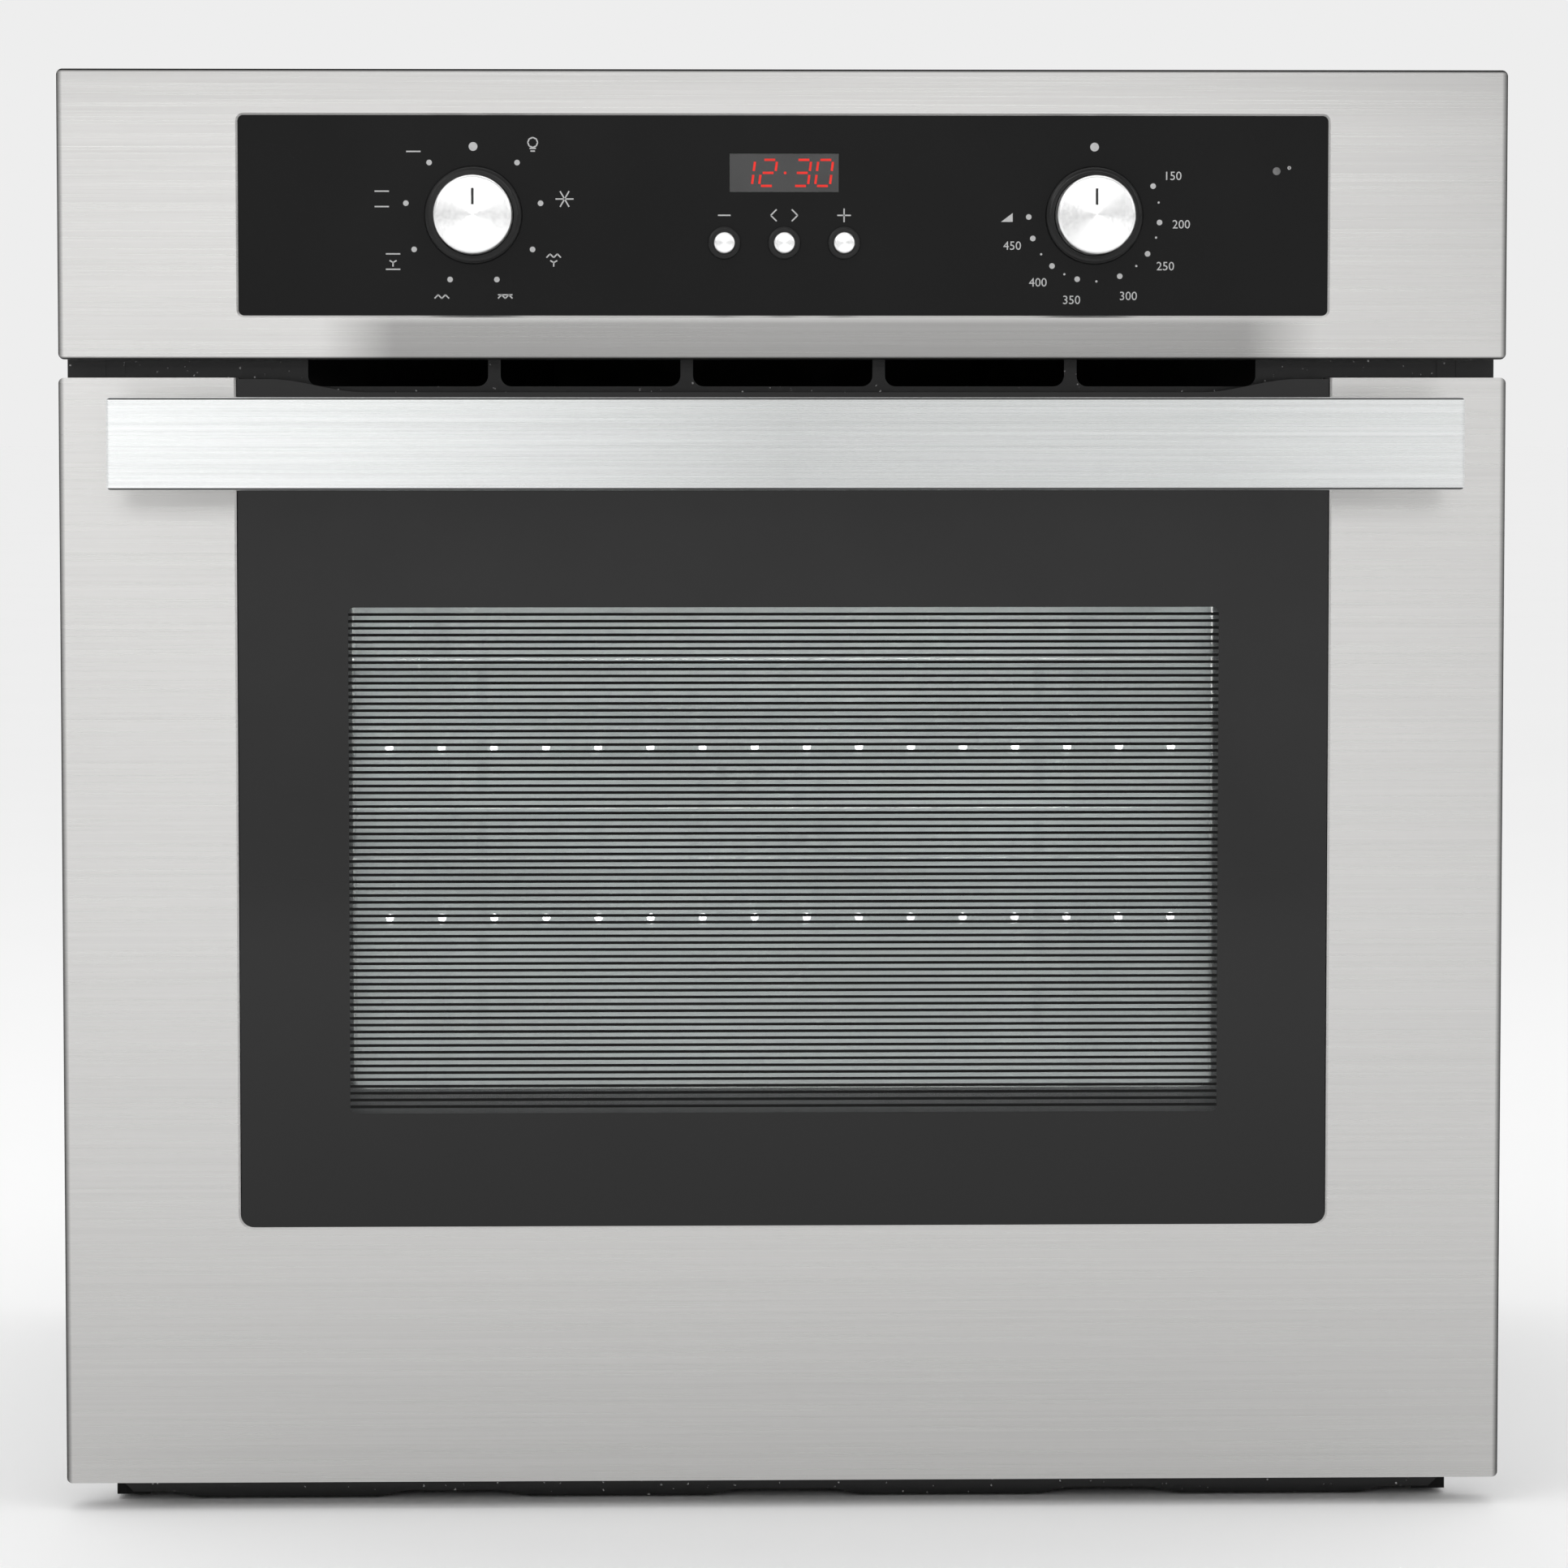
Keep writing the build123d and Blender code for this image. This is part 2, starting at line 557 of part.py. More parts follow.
# ---- Lamp and temperature sensor in the back wall ---------------------------------------------
LENS_RADIUS = 22.0
LENS_HEIGHT = 14.0
LENS_ROUND = 6.0
LENS_SIDE = 4.0
LENS_FACE = 3.0
BULB_RADIUS = 8.0
BULB_PROUD = 8.0
BULB_LENGTH = 20.0
BULB_ROUND = 4.0
HOLDER_LENGTH = 34.0
SOCKET_DEPTH = 12.0
SENSOR_REACH = 60.0
SENSOR_LENGTH = 80.0

with BuildPart() as lamp_lens:
    with BuildSketch(facing(CAVITY_BACK - LENS_HEIGHT)):
        with Locations((LAMP_X, LAMP_Z)):
            Circle(LENS_RADIUS)
    extrude(amount=-LENS_HEIGHT)
    fillet(lamp_lens.faces().sort_by(Axis.Y)[0].edges(), radius=LENS_ROUND)
    with BuildSketch(facing(CAVITY_BACK - LENS_HEIGHT + LENS_FACE)):
        with Locations((LAMP_X, LAMP_Z)):
            Circle(LENS_RADIUS - LENS_SIDE)
    extrude(amount=-LENS_HEIGHT, mode=Mode.SUBTRACT)

with BuildPart() as lamp_bulb:
    with BuildSketch(facing(CAVITY_BACK - BULB_PROUD)):
        with Locations((LAMP_X, LAMP_Z)):
            Circle(BULB_RADIUS)
    extrude(amount=-BULB_LENGTH)
    fillet(lamp_bulb.faces().sort_by(Axis.Y)[0].edges(), radius=BULB_ROUND)

with BuildPart() as lamp_holder:
    with BuildSketch(facing(CAVITY_BACK + SHEET + GAP)):
        with Locations((LAMP_X, LAMP_Z)):
            Circle(LAMP_HOLE_RADIUS)
    extrude(amount=-HOLDER_LENGTH)
    with BuildSketch(facing(CAVITY_BACK + SHEET + GAP)):
        with Locations((LAMP_X, LAMP_Z)):
            Circle(BULB_RADIUS + GAP)
    extrude(amount=-SOCKET_DEPTH, mode=Mode.SUBTRACT)

with BuildPart() as temperature_sensor:
    with BuildSketch(facing(CAVITY_BACK - SENSOR_REACH)):
        with Locations((SENSOR_X, SENSOR_Z)):
            Circle(SENSOR_RADIUS)
    extrude(amount=-SENSOR_LENGTH)
    fillet(temperature_sensor.faces().sort_by(Axis.Y)[0].edges(), radius=SHEET)

# ---- Rack guides: a wire ladder on each side wall ---------------------------------------------
GUIDE_WIRE_RADIUS = 2.2
GUIDE_POST_X = 216.0
GUIDE_RUNG_X = 211.8
GUIDE_FRONT = 60.0
GUIDE_BACK = 425.0
GUIDE_RUNGS = 7
GUIDE_POST_INSET = 20.0
RUNG_DROP = RACK_ROD_DROP + RACK_ROD_RADIUS + GUIDE_WIRE_RADIUS + GAP
GUIDE_BOTTOM_Z = RACK_WIRE_Z[0] - RUNG_DROP - 2 * GUIDE_PITCH
GUIDE_TOP_Z = GUIDE_BOTTOM_Z + GUIDE_PITCH * (GUIDE_RUNGS - 1)


def rod(start, end, radius):
    """A straight round rod between two points, made inside the current part."""
    along = Vector(*end) - Vector(*start)
    with Locations(Plane(origin=start, z_dir=along).location):
        Cylinder(radius, along.length, align=(Align.CENTER, Align.CENTER, Align.MIN))


with BuildPart() as rack_guides:
    for side in (-1, 1):
        rung_x = side * GUIDE_RUNG_X
        post_x = side * GUIDE_POST_X
        for rung in range(GUIDE_RUNGS):
            z = GUIDE_BOTTOM_Z + GUIDE_PITCH * rung
            rod(place(rung_x, GUIDE_FRONT, z), place(rung_x, GUIDE_BACK, z), GUIDE_WIRE_RADIUS)
        middle_depth = (GUIDE_FRONT + GUIDE_BACK) / 2
        for depth in (GUIDE_FRONT + GUIDE_POST_INSET, middle_depth, GUIDE_BACK - GUIDE_POST_INSET):
            foot = place(post_x, depth, GUIDE_BOTTOM_Z - GUIDE_POST_INSET)
            head = place(post_x, depth, GUIDE_TOP_Z + GUIDE_POST_INSET)
            rod(foot, head, GUIDE_WIRE_RADIUS)

# ---- Racks: long wires on cross rods, with a raised stop along the back -----------------------
RACK_FRONT_ROD = 62.0
RACK_BACK_ROD = 417.0
ROD_OVERHANG = RACK_ROD_RADIUS + GAP


def wire_x(index):
    """Where a long wire of a rack lies across the oven."""
    return (index - (RACK_WIRES - 1) / 2) * RACK_WIRE_PITCH


def rack_grid(wire_z):
    """The flat grid of a rack whose long wires lie at this height."""
    rod_z = wire_z - RACK_ROD_DROP
    with BuildPart() as grid:
        for side in (-1, 1):
            front_end = place(side * RACK_SIDE_X, RACK_FRONT_ROD - ROD_OVERHANG, rod_z)
            back_end = place(side * RACK_SIDE_X, RACK_BACK_ROD + ROD_OVERHANG, rod_z)
            rod(front_end, back_end, RACK_ROD_RADIUS)
        for depth in (RACK_FRONT_ROD, (RACK_FRONT_ROD + RACK_BACK_ROD) / 2, RACK_BACK_ROD):
            left_end = place(-RACK_SIDE_X, depth, rod_z)
            right_end = place(RACK_SIDE_X, depth, rod_z)
            rod(left_end, right_end, CROSS_ROD_RADIUS)
        for index in range(RACK_WIRES):
            front_end = place(wire_x(index), RACK_FRONT, wire_z)
            back_end = place(wire_x(index), RACK_BACK + RACK_ROD_RADIUS, wire_z)
            rod(front_end, back_end, RACK_WIRE_RADIUS)
    return grid


def rack_stop(wire_z):
    """The rail that keeps a pan from sliding off the back, on risers from the long wires."""
    rail_z = wire_z + RACK_STOP_RISE
    rail_x = RACK_WIRE_PITCH * RACK_WIRES / 2
    with BuildPart() as stop:
        for index in range(RACK_WIRES):
            foot = place(wire_x(index), RACK_BACK, wire_z + RACK_WIRE_RADIUS)
            head = place(wire_x(index), RACK_BACK, rail_z)
            rod(foot, head, RISER_RADIUS)
        rod(place(-rail_x, RACK_BACK, rail_z), place(rail_x, RACK_BACK, rail_z), RACK_ROD_RADIUS)
    return stop


lower_rack = rack_grid(RACK_WIRE_Z[0])
lower_rack_stop = rack_stop(RACK_WIRE_Z[0])
upper_rack = rack_grid(RACK_WIRE_Z[1])
upper_rack_stop = rack_stop(RACK_WIRE_Z[1])

# ---- Control fascia: a folded steel panel with a bevelled window for the control glass --------

with BuildPart() as control_fascia:
    with BuildSketch(facing(0)):
        with Locations((0, MID_FASCIA_Z)):
            RectangleRounded(WIDTH, HEIGHT - FASCIA_BOTTOM, FASCIA_CORNER)
    extrude(amount=-FASCIA_DEPTH)
    with BuildSketch(facing(SHEET)):
        with Locations((0, MID_FASCIA_Z)):
            RectangleRounded(WIDTH - 2 * SHEET, HEIGHT - FASCIA_BOTTOM - 2 * SHEET, FASCIA_CORNER - SHEET)
    extrude(amount=-FASCIA_DEPTH, mode=Mode.SUBTRACT)
    with BuildSketch(facing(0)):
        with Locations((0, MID_WINDOW_Z)):
            window_height = CONTROL_WINDOW_TOP - CONTROL_WINDOW_BOTTOM
            RectangleRounded(CONTROL_WINDOW_WIDTH, window_height, CONTROL_WINDOW_CORNER)
    extrude(amount=-SHEET, mode=Mode.SUBTRACT)
    front_face = control_fascia.faces().filter_by(Axis.Y).sort_by(Axis.Y)[0]
    chamfer(front_face.inner_wires()[0].edges(), length=EDGE_BEVEL)

# ---- Control glass, with holes for the bezels and a window for the display -------------------
CONTROL_GLASS_MARGIN = 8.0
CONTROL_GLASS_THICKNESS = 3.0
BEZEL_NECK_RADIUS = 18.4
BEZEL_BORE_RADIUS = 16.6
BUTTON_NECK_RADIUS = 5.8
BUTTON_BORE_RADIUS = 4.6
INDICATOR_RADIUS = 1.6
LENS_FIT = 0.1

with BuildPart() as control_glass:
    with BuildSketch(facing(GLASS_FRONT)):
        with Locations((0, MID_WINDOW_Z)):
            RectangleRounded(
                CONTROL_WINDOW_WIDTH + 2 * CONTROL_GLASS_MARGIN,
                window_height + 2 * CONTROL_GLASS_MARGIN,
                CONTROL_WINDOW_CORNER,
            )
        for side in (-1, 1):
            with Locations((side * KNOB_X, KNOB_Z)):
                Circle(BEZEL_NECK_RADIUS + GAP, mode=Mode.SUBTRACT)
        with Locations((0, BUTTON_Z)):
            with GridLocations(BUTTON_PITCH, 0, 3, 1):
                Circle(BUTTON_NECK_RADIUS + GAP, mode=Mode.SUBTRACT)
        with Locations((0, (DISPLAY_BOTTOM + DISPLAY_TOP) / 2)):
            Rectangle(DISPLAY_WIDTH + GAP, DISPLAY_TOP - DISPLAY_BOTTOM + GAP, mode=Mode.SUBTRACT)
        with Locations((INDICATOR_X, INDICATOR_Z)):
            Circle(INDICATOR_RADIUS + LENS_FIT, mode=Mode.SUBTRACT)
    extrude(amount=-CONTROL_GLASS_THICKNESS)

with BuildPart() as display_window:
    with BuildSketch(facing(GLASS_FRONT + LENS_FIT)):
        with Locations((0, (DISPLAY_BOTTOM + DISPLAY_TOP) / 2)):
            Rectangle(DISPLAY_WIDTH, DISPLAY_TOP - DISPLAY_BOTTOM)
    extrude(amount=-SHEET)

with BuildPart() as indicator_lens:
    with BuildSketch(facing(GLASS_FRONT - LENS_FIT)):
        with Locations((INDICATOR_X, INDICATOR_Z)):
            Circle(INDICATOR_RADIUS)
    extrude(amount=-CONTROL_GLASS_THICKNESS)

# ---- Bezels: a convex ring around each knob and each button ----------------------------------
BEZEL_PROUD = 2.6
BEZEL_ROUND = 2.2
BEZEL_BACK = 15.0
BUTTON_BEZEL_PROUD = 1.2
BUTTON_BEZEL_ROUND = 0.95
BUTTON_BEZEL_BACK = 7.0

with BuildPart() as knob_bezels:
    with BuildSketch(facing(GLASS_FRONT)):
        for side in (-1, 1):
            with Locations((side * KNOB_X, KNOB_Z)):
                Circle(BEZEL_RADIUS)
    extrude(amount=BEZEL_PROUD)
    rims = knob_bezels.faces().sort_by(Axis.Y)[0:2]
    fillet(rims.edges(), radius=BEZEL_ROUND)
    with BuildSketch(facing(GLASS_FRONT)):
        for side in (-1, 1):
            with Locations((side * KNOB_X, KNOB_Z)):
                Circle(BEZEL_NECK_RADIUS)
    extrude(amount=-(BEZEL_BACK - GLASS_FRONT))
    with BuildSketch(facing(-2 * BEZEL_PROUD)):
        for side in (-1, 1):
            with Locations((side * KNOB_X, KNOB_Z)):
                Circle(BEZEL_BORE_RADIUS)
    extrude(amount=-2 * BEZEL_BACK, mode=Mode.SUBTRACT)

with BuildPart() as button_bezels:
    with BuildSketch(facing(GLASS_FRONT)):
        with Locations((0, BUTTON_Z)):
            with GridLocations(BUTTON_PITCH, 0, 3, 1):
                Circle(BUTTON_BEZEL_RADIUS)
    extrude(amount=BUTTON_BEZEL_PROUD)
    button_rims = button_bezels.faces().sort_by(Axis.Y)[0:3]
    fillet(button_rims.edges(), radius=BUTTON_BEZEL_ROUND)
    with BuildSketch(facing(GLASS_FRONT)):
        with Locations((0, BUTTON_Z)):
            with GridLocations(BUTTON_PITCH, 0, 3, 1):
                Circle(BUTTON_NECK_RADIUS)
    extrude(amount=-(BUTTON_BEZEL_BACK - GLASS_FRONT))
    with BuildSketch(facing(-BEZEL_PROUD)):
        with Locations((0, BUTTON_Z)):
            with GridLocations(BUTTON_PITCH, 0, 3, 1):
                Circle(BUTTON_BORE_RADIUS)
    extrude(amount=-2 * BUTTON_BEZEL_BACK, mode=Mode.SUBTRACT)

# ---- Knobs: a hollow cap that slides on a spindle, so that it can be pushed in flush ----------
SPINDLE_RADIUS = 3.0
SPINDLE_FRONT = -1.0
SPINDLE_BACK = 44.0
KNOB_REAR = 3.0
HUB_RADIUS = 6.0
CAP_WALL = 1.5
KNOB_RIM_FILLET = 1.4
SPINDLE_BEVEL = 0.5


def knob(side):
    """A spun cap with a hub inside that fits the spindle."""
    with BuildPart() as cap:
        with BuildSketch(facing(-KNOB_PROUD)):
            with Locations((side * KNOB_X, KNOB_Z)):
                Circle(KNOB_RADIUS)
        extrude(amount=-(KNOB_PROUD + KNOB_REAR))
        fillet(cap.faces().sort_by(Axis.Y)[0].edges(), radius=KNOB_RIM_FILLET)
        with BuildSketch(facing(-KNOB_PROUD + CAP_WALL)):
            with Locations((side * KNOB_X, KNOB_Z)):
                Circle(KNOB_RADIUS - CAP_WALL)
                Circle(HUB_RADIUS, mode=Mode.SUBTRACT)
                Circle(SPINDLE_RADIUS + SHAFT_FIT)
        extrude(amount=-(KNOB_PROUD + KNOB_REAR), mode=Mode.SUBTRACT)
    return cap


def spindle(side):
    """The turning shaft of a rotary switch."""
    with BuildPart() as shaft:
        with BuildSketch(facing(SPINDLE_FRONT)):
            with Locations((side * KNOB_X, KNOB_Z)):
                Circle(SPINDLE_RADIUS)
        extrude(amount=-(SPINDLE_BACK - SPINDLE_FRONT))
        chamfer(shaft.faces().sort_by(Axis.Y)[0].edges(), length=SPINDLE_BEVEL)
    return shaft


mode_knob = knob(-1)
temperature_knob = knob(1)
mode_spindle = spindle(-1)
temperature_spindle = spindle(1)

# ---- Rotary switch and thermostat behind the glass --------------------------------------------
SWITCH_FRONT = 30.0
SWITCH_SIZE = 44.0
SWITCH_LENGTH = 38.0
THERMOSTAT_LENGTH = 26.6
SWITCH_CORNER = 5.0
SWITCH_BEVEL = 2.0
NECK_RADIUS = 7.0
NECK_FRONT = 20.0


def rotary_body(side, length):
    """A moulded switch block with a threaded neck and a bore for its spindle."""
    with BuildPart() as block:
        with BuildSketch(facing(SWITCH_FRONT)):
            with Locations((side * KNOB_X, KNOB_Z)):
                RectangleRounded(SWITCH_SIZE, SWITCH_SIZE, SWITCH_CORNER)
        extrude(amount=-length)
        chamfer(block.faces().sort_by(Axis.Y)[-1].edges(), length=SWITCH_BEVEL)
        with BuildSketch(facing(NECK_FRONT)):
            with Locations((side * KNOB_X, KNOB_Z)):
                Circle(NECK_RADIUS)
        extrude(amount=-(SWITCH_FRONT - NECK_FRONT))
        with BuildSketch(facing(NECK_FRONT)):
            with Locations((side * KNOB_X, KNOB_Z)):
                Circle(SPINDLE_RADIUS + SHAFT_FIT)
        extrude(amount=-(SPINDLE_BACK + SHEET - NECK_FRONT), mode=Mode.SUBTRACT)
    return block


mode_switch = rotary_body(-1, SWITCH_LENGTH)
thermostat = rotary_body(1, THERMOSTAT_LENGTH)

# ---- Buttons and timer board -------------------------------------------------------------------
BUTTON_FRONT = -3.4
BUTTON_BACK = 11.0
BUTTON_TRAVEL = 1.5
BUTTON_STEM = 3.0
BUTTON_STEM_RADIUS = 1.5
BOARD_FRONT = 16.0
BOARD_WIDTH = 110.0
BOARD_BOTTOM = 508.0
BOARD_TOP = 572.0
SWITCH_CAP = 5.0
BOARD_CORNER = 2.0
BOARD_THICKNESS = 1.6
DISPLAY_BLOCK_MARGIN = 3.0
DISPLAY_BLOCK_HEIGHT = 11.0


def button(index):
    """A round push button with a stem that reaches its tact switch."""
    button_x = index * BUTTON_PITCH
    with BuildPart() as cap:
        with BuildSketch(facing(BUTTON_FRONT)):
            with Locations((button_x, BUTTON_Z)):
                Circle(BUTTON_RADIUS)
        extrude(amount=-(BUTTON_BACK - BUTTON_FRONT - BUTTON_STEM))
        fillet(cap.faces().sort_by(Axis.Y)[0].edges(), radius=SHEET)
        with BuildSketch(facing(BUTTON_BACK - BUTTON_STEM)):
            with Locations((button_x, BUTTON_Z)):
                Circle(BUTTON_STEM_RADIUS)
        extrude(amount=-BUTTON_STEM)
    return cap


minus_button = button(-1)
set_button = button(0)
plus_button = button(1)

with BuildPart() as timer_board:
    with BuildSketch(facing(BOARD_FRONT)):
        with Locations((0, (BOARD_BOTTOM + BOARD_TOP) / 2)):
            RectangleRounded(BOARD_WIDTH, BOARD_TOP - BOARD_BOTTOM, BOARD_CORNER)
    extrude(amount=-BOARD_THICKNESS)
    with BuildSketch(facing(BOARD_FRONT)):
        with Locations((0, (DISPLAY_BOTTOM + DISPLAY_TOP) / 2)):
            block_width = DISPLAY_WIDTH + 2 * DISPLAY_BLOCK_MARGIN
            Rectangle(block_width, DISPLAY_TOP - DISPLAY_BOTTOM + 2 * DISPLAY_BLOCK_MARGIN)
    extrude(amount=DISPLAY_BLOCK_HEIGHT)
    with BuildSketch(facing(BOARD_FRONT)):
        with Locations((0, BUTTON_Z)):
            with GridLocations(BUTTON_PITCH, 0, 3, 1):
                Rectangle(SWITCH_CAP, SWITCH_CAP)
    extrude(amount=BOARD_FRONT - BUTTON_BACK - BUTTON_TRAVEL - GAP)

# ---- Cooling blower: a cross-flow rotor above a duct that ends at the front slots --------------
DUCT_BOTTOM = 450.0
DUCT_TOP = 484.0
DUCT_FRONT = 27.0
DUCT_BACK = 392.0
DUCT_WIDE = 404.0
DUCT_NARROW = 200.0
DUCT_NECK = 250.0
DUCT_INLET_FRONT = 330.0
DUCT_INLET_BACK = 370.0
SCROLL_RADIUS = 36.0
SCROLL_HALF_LENGTH = 95.0
BLADE_WIDTH = 8.0
BLADE_THICKNESS = 1.0
BLOWER_SHAFT_RADIUS = 3.0
BLOWER_MOTOR_RADIUS = 26.0
BLOWER_MOTOR_LENGTH = 48.0
BEARING_BAR = 12.0
THROAT_HEIGHT = 12.0
BLOWER_FOOT_WIDTH = 86.4
BLADE_PITCH_ANGLE = 35
BLOWER_SHAFT_REACH = 17.0
MOTOR_FOOT_WIDTH = 41.6
BLOWER_BORE_DEPTH = 20.0

with BuildPart() as air_duct:
    with BuildSketch(Plane.XY.offset(DUCT_BOTTOM)):
        with BuildLine():
            Polyline(
                place(-DUCT_WIDE / 2, DUCT_FRONT, 0)[:2],
                place(DUCT_WIDE / 2, DUCT_FRONT, 0)[:2],
                place(DUCT_NARROW / 2, DUCT_NECK, 0)[:2],
                place(DUCT_NARROW / 2, DUCT_BACK, 0)[:2],
                place(-DUCT_NARROW / 2, DUCT_BACK, 0)[:2],
                place(-DUCT_NARROW / 2, DUCT_NECK, 0)[:2],
                close=True,
            )
        make_face()
    extrude(amount=DUCT_TOP - DUCT_BOTTOM)
    offset(amount=-SHEET, openings=air_duct.faces().sort_by(Axis.Y)[0])
    with BuildSketch(Plane.XY.offset(DUCT_TOP)):
        with Locations(place(0, (DUCT_INLET_FRONT + DUCT_INLET_BACK) / 2, 0)[:2]):
            Rectangle(2 * BLOWER_HALF_LENGTH, DUCT_INLET_BACK - DUCT_INLET_FRONT)
    extrude(amount=-2 * SHEET, mode=Mode.SUBTRACT)


def across(x):
    """The upright plane across the oven at this X: local x is Y and local y is Z."""
    return Plane.YZ.offset(x)


BLOWER_AT = place(0, BLOWER_DEPTH, BLOWER_Z)[1:]

with BuildPart() as blower_housing:
    with BuildSketch(across(-SCROLL_HALF_LENGTH)):
        with Locations(BLOWER_AT):
            Circle(SCROLL_RADIUS)
        with Locations((BLOWER_AT[0], DUCT_TOP + SHEET / 2)):
            Rectangle(BLOWER_FOOT_WIDTH, SHEET)
        with Locations((BLOWER_AT[0], DUCT_TOP + THROAT_HEIGHT / 2)):
            Rectangle(DUCT_INLET_BACK - DUCT_INLET_FRONT + 2 * SHEET, THROAT_HEIGHT)
        with Locations(BLOWER_AT):
            Circle(SCROLL_RADIUS - SHEET, mode=Mode.SUBTRACT)
        with Locations((BLOWER_AT[0], DUCT_TOP + THROAT_HEIGHT / 2)):
            Rectangle(DUCT_INLET_BACK - DUCT_INLET_FRONT, THROAT_HEIGHT, mode=Mode.SUBTRACT)
    extrude(amount=2 * SCROLL_HALF_LENGTH)
    for end in (-1, 1):
        with BuildSketch(across(end * (SCROLL_HALF_LENGTH - SHEET / 2) - SHEET / 2)):
            with Locations(BLOWER_AT):
                Rectangle(BEARING_BAR, 2 * SCROLL_RADIUS - SHEET)
                Circle(BLOWER_SHAFT_RADIUS + SHAFT_FIT, mode=Mode.SUBTRACT)
        extrude(amount=SHEET)

with BuildPart() as cooling_fan:
    with BuildSketch(across(-BLOWER_HALF_LENGTH)):
        with Locations(BLOWER_AT):
            with PolarLocations(BLOWER_RADIUS - BLADE_WIDTH / 2, BLOWER_BLADES):
                Rectangle(BLADE_WIDTH, BLADE_THICKNESS, rotation=BLADE_PITCH_ANGLE)
    extrude(amount=2 * BLOWER_HALF_LENGTH)
    for disc_x in (-BLOWER_HALF_LENGTH, -SHEET / 2, BLOWER_HALF_LENGTH - SHEET):
        with BuildSketch(across(disc_x)):
            with Locations(BLOWER_AT):
                Circle(BLOWER_RADIUS)
        extrude(amount=SHEET)
    with BuildSketch(across(-SCROLL_HALF_LENGTH - 3 * SHEET)):
        with Locations(BLOWER_AT):
            Circle(BLOWER_SHAFT_RADIUS)
    extrude(amount=2 * SCROLL_HALF_LENGTH + 3 * SHEET + BLOWER_SHAFT_REACH)

with BuildPart() as blower_motor:
    with BuildSketch(across(SCROLL_HALF_LENGTH + 2 * SHEET)):
        with Locations(BLOWER_AT):
            Circle(BLOWER_MOTOR_RADIUS)
        with Locations((BLOWER_AT[0], (DUCT_TOP + BLOWER_Z) / 2)):
            Rectangle(MOTOR_FOOT_WIDTH, BLOWER_Z - DUCT_TOP)
    extrude(amount=BLOWER_MOTOR_LENGTH)
    with BuildSketch(across(SCROLL_HALF_LENGTH)):
        with Locations(BLOWER_AT):
            Circle(BLOWER_SHAFT_RADIUS + SHAFT_FIT)
    extrude(amount=BLOWER_BORE_DEPTH, mode=Mode.SUBTRACT)

# ---- Door hinges: a lug on the oven and an eared arm in the door ------------------------------
LUG_THICKNESS = 6.0
LUG_RADIUS = 5.5
LUG_BACK = 38.0
CARTRIDGE_WIDTH = 16.0
CARTRIDGE_FRONT = 28.5
CARTRIDGE_BACK = 190.0
CARTRIDGE_BOTTOM = 15.0
CARTRIDGE_TOP = 48.0
EAR_THICKNESS = 2.5
EAR_GAP = 0.5
ARM_FRONT = 6.0
ARM_BACK = 15.8
ARM_TOP = 120.0
ARM_BRIDGE_Z = 84.5


def hinge_bracket(side):
    """The lug that carries the door, in its spring cartridge behind the flange."""
    with BuildPart() as bracket:
        with BuildSketch(across(side * HINGE_X - LUG_THICKNESS / 2)):
            with Locations(place(0, (HINGE_DEPTH + LUG_BACK) / 2, HINGE_Z)[1:]):
                SlotOverall(LUG_BACK - HINGE_DEPTH + 2 * LUG_RADIUS, 2 * LUG_RADIUS)
            with Locations(place(0, HINGE_DEPTH, HINGE_Z)[1:]):
                Circle(HINGE_PIN_RADIUS + SHAFT_FIT, mode=Mode.SUBTRACT)
        extrude(amount=LUG_THICKNESS)
        with BuildSketch(across(side * HINGE_X - CARTRIDGE_WIDTH / 2)):
            with BuildLine():
                Polyline(
                    place(0, CARTRIDGE_FRONT, CARTRIDGE_BOTTOM)[1:],
                    place(0, CARTRIDGE_BACK, HINGE_Z + LUG_RADIUS)[1:],
                    place(0, CARTRIDGE_BACK, CARTRIDGE_TOP)[1:],
                    place(0, CARTRIDGE_FRONT, CARTRIDGE_TOP)[1:],
                    close=True,
                )
            make_face()
        extrude(amount=CARTRIDGE_WIDTH)
    return bracket


def hinge_arm(side):
    """The arm in the door: two ears and a pin at the foot, one plate up the side channel."""
    ear_offset = LUG_THICKNESS / 2 + EAR_GAP
    with BuildPart() as arm:
        for near_x in (side * HINGE_X - ear_offset - EAR_THICKNESS, side * HINGE_X + ear_offset):
            with BuildSketch(across(near_x)):
                with Locations(place(0, HINGE_DEPTH, HINGE_Z)[1:]):
                    Circle(LUG_RADIUS - SHEET)
                with BuildLine():
                    Polyline(
                        place(0, ARM_FRONT, HINGE_Z)[1:],
                        place(0, HINGE_DEPTH + LUG_RADIUS - SHEET, HINGE_Z)[1:],
                        place(0, ARM_BACK, HINGE_Z + 2 * LUG_RADIUS)[1:],
                        place(0, ARM_BACK, ARM_TOP)[1:],
                        place(0, ARM_FRONT, ARM_TOP)[1:],
                        close=True,
                    )
                make_face()
            extrude(amount=EAR_THICKNESS)
        with BuildSketch(across(side * HINGE_X - ear_offset - EAR_THICKNESS)):
            with Locations(place(0, HINGE_DEPTH, HINGE_Z)[1:]):
                Circle(HINGE_PIN_RADIUS)
            with Locations(place(0, (ARM_FRONT + ARM_BACK) / 2, ARM_BRIDGE_Z)[1:]):
                Rectangle(ARM_BACK - ARM_FRONT, 2 * LUG_RADIUS)
        extrude(amount=2 * (ear_offset + EAR_THICKNESS))
    return arm


left_hinge_bracket = hinge_bracket(-1)
right_hinge_bracket = hinge_bracket(1)
left_hinge_arm = hinge_arm(-1)
right_hinge_arm = hinge_arm(1)

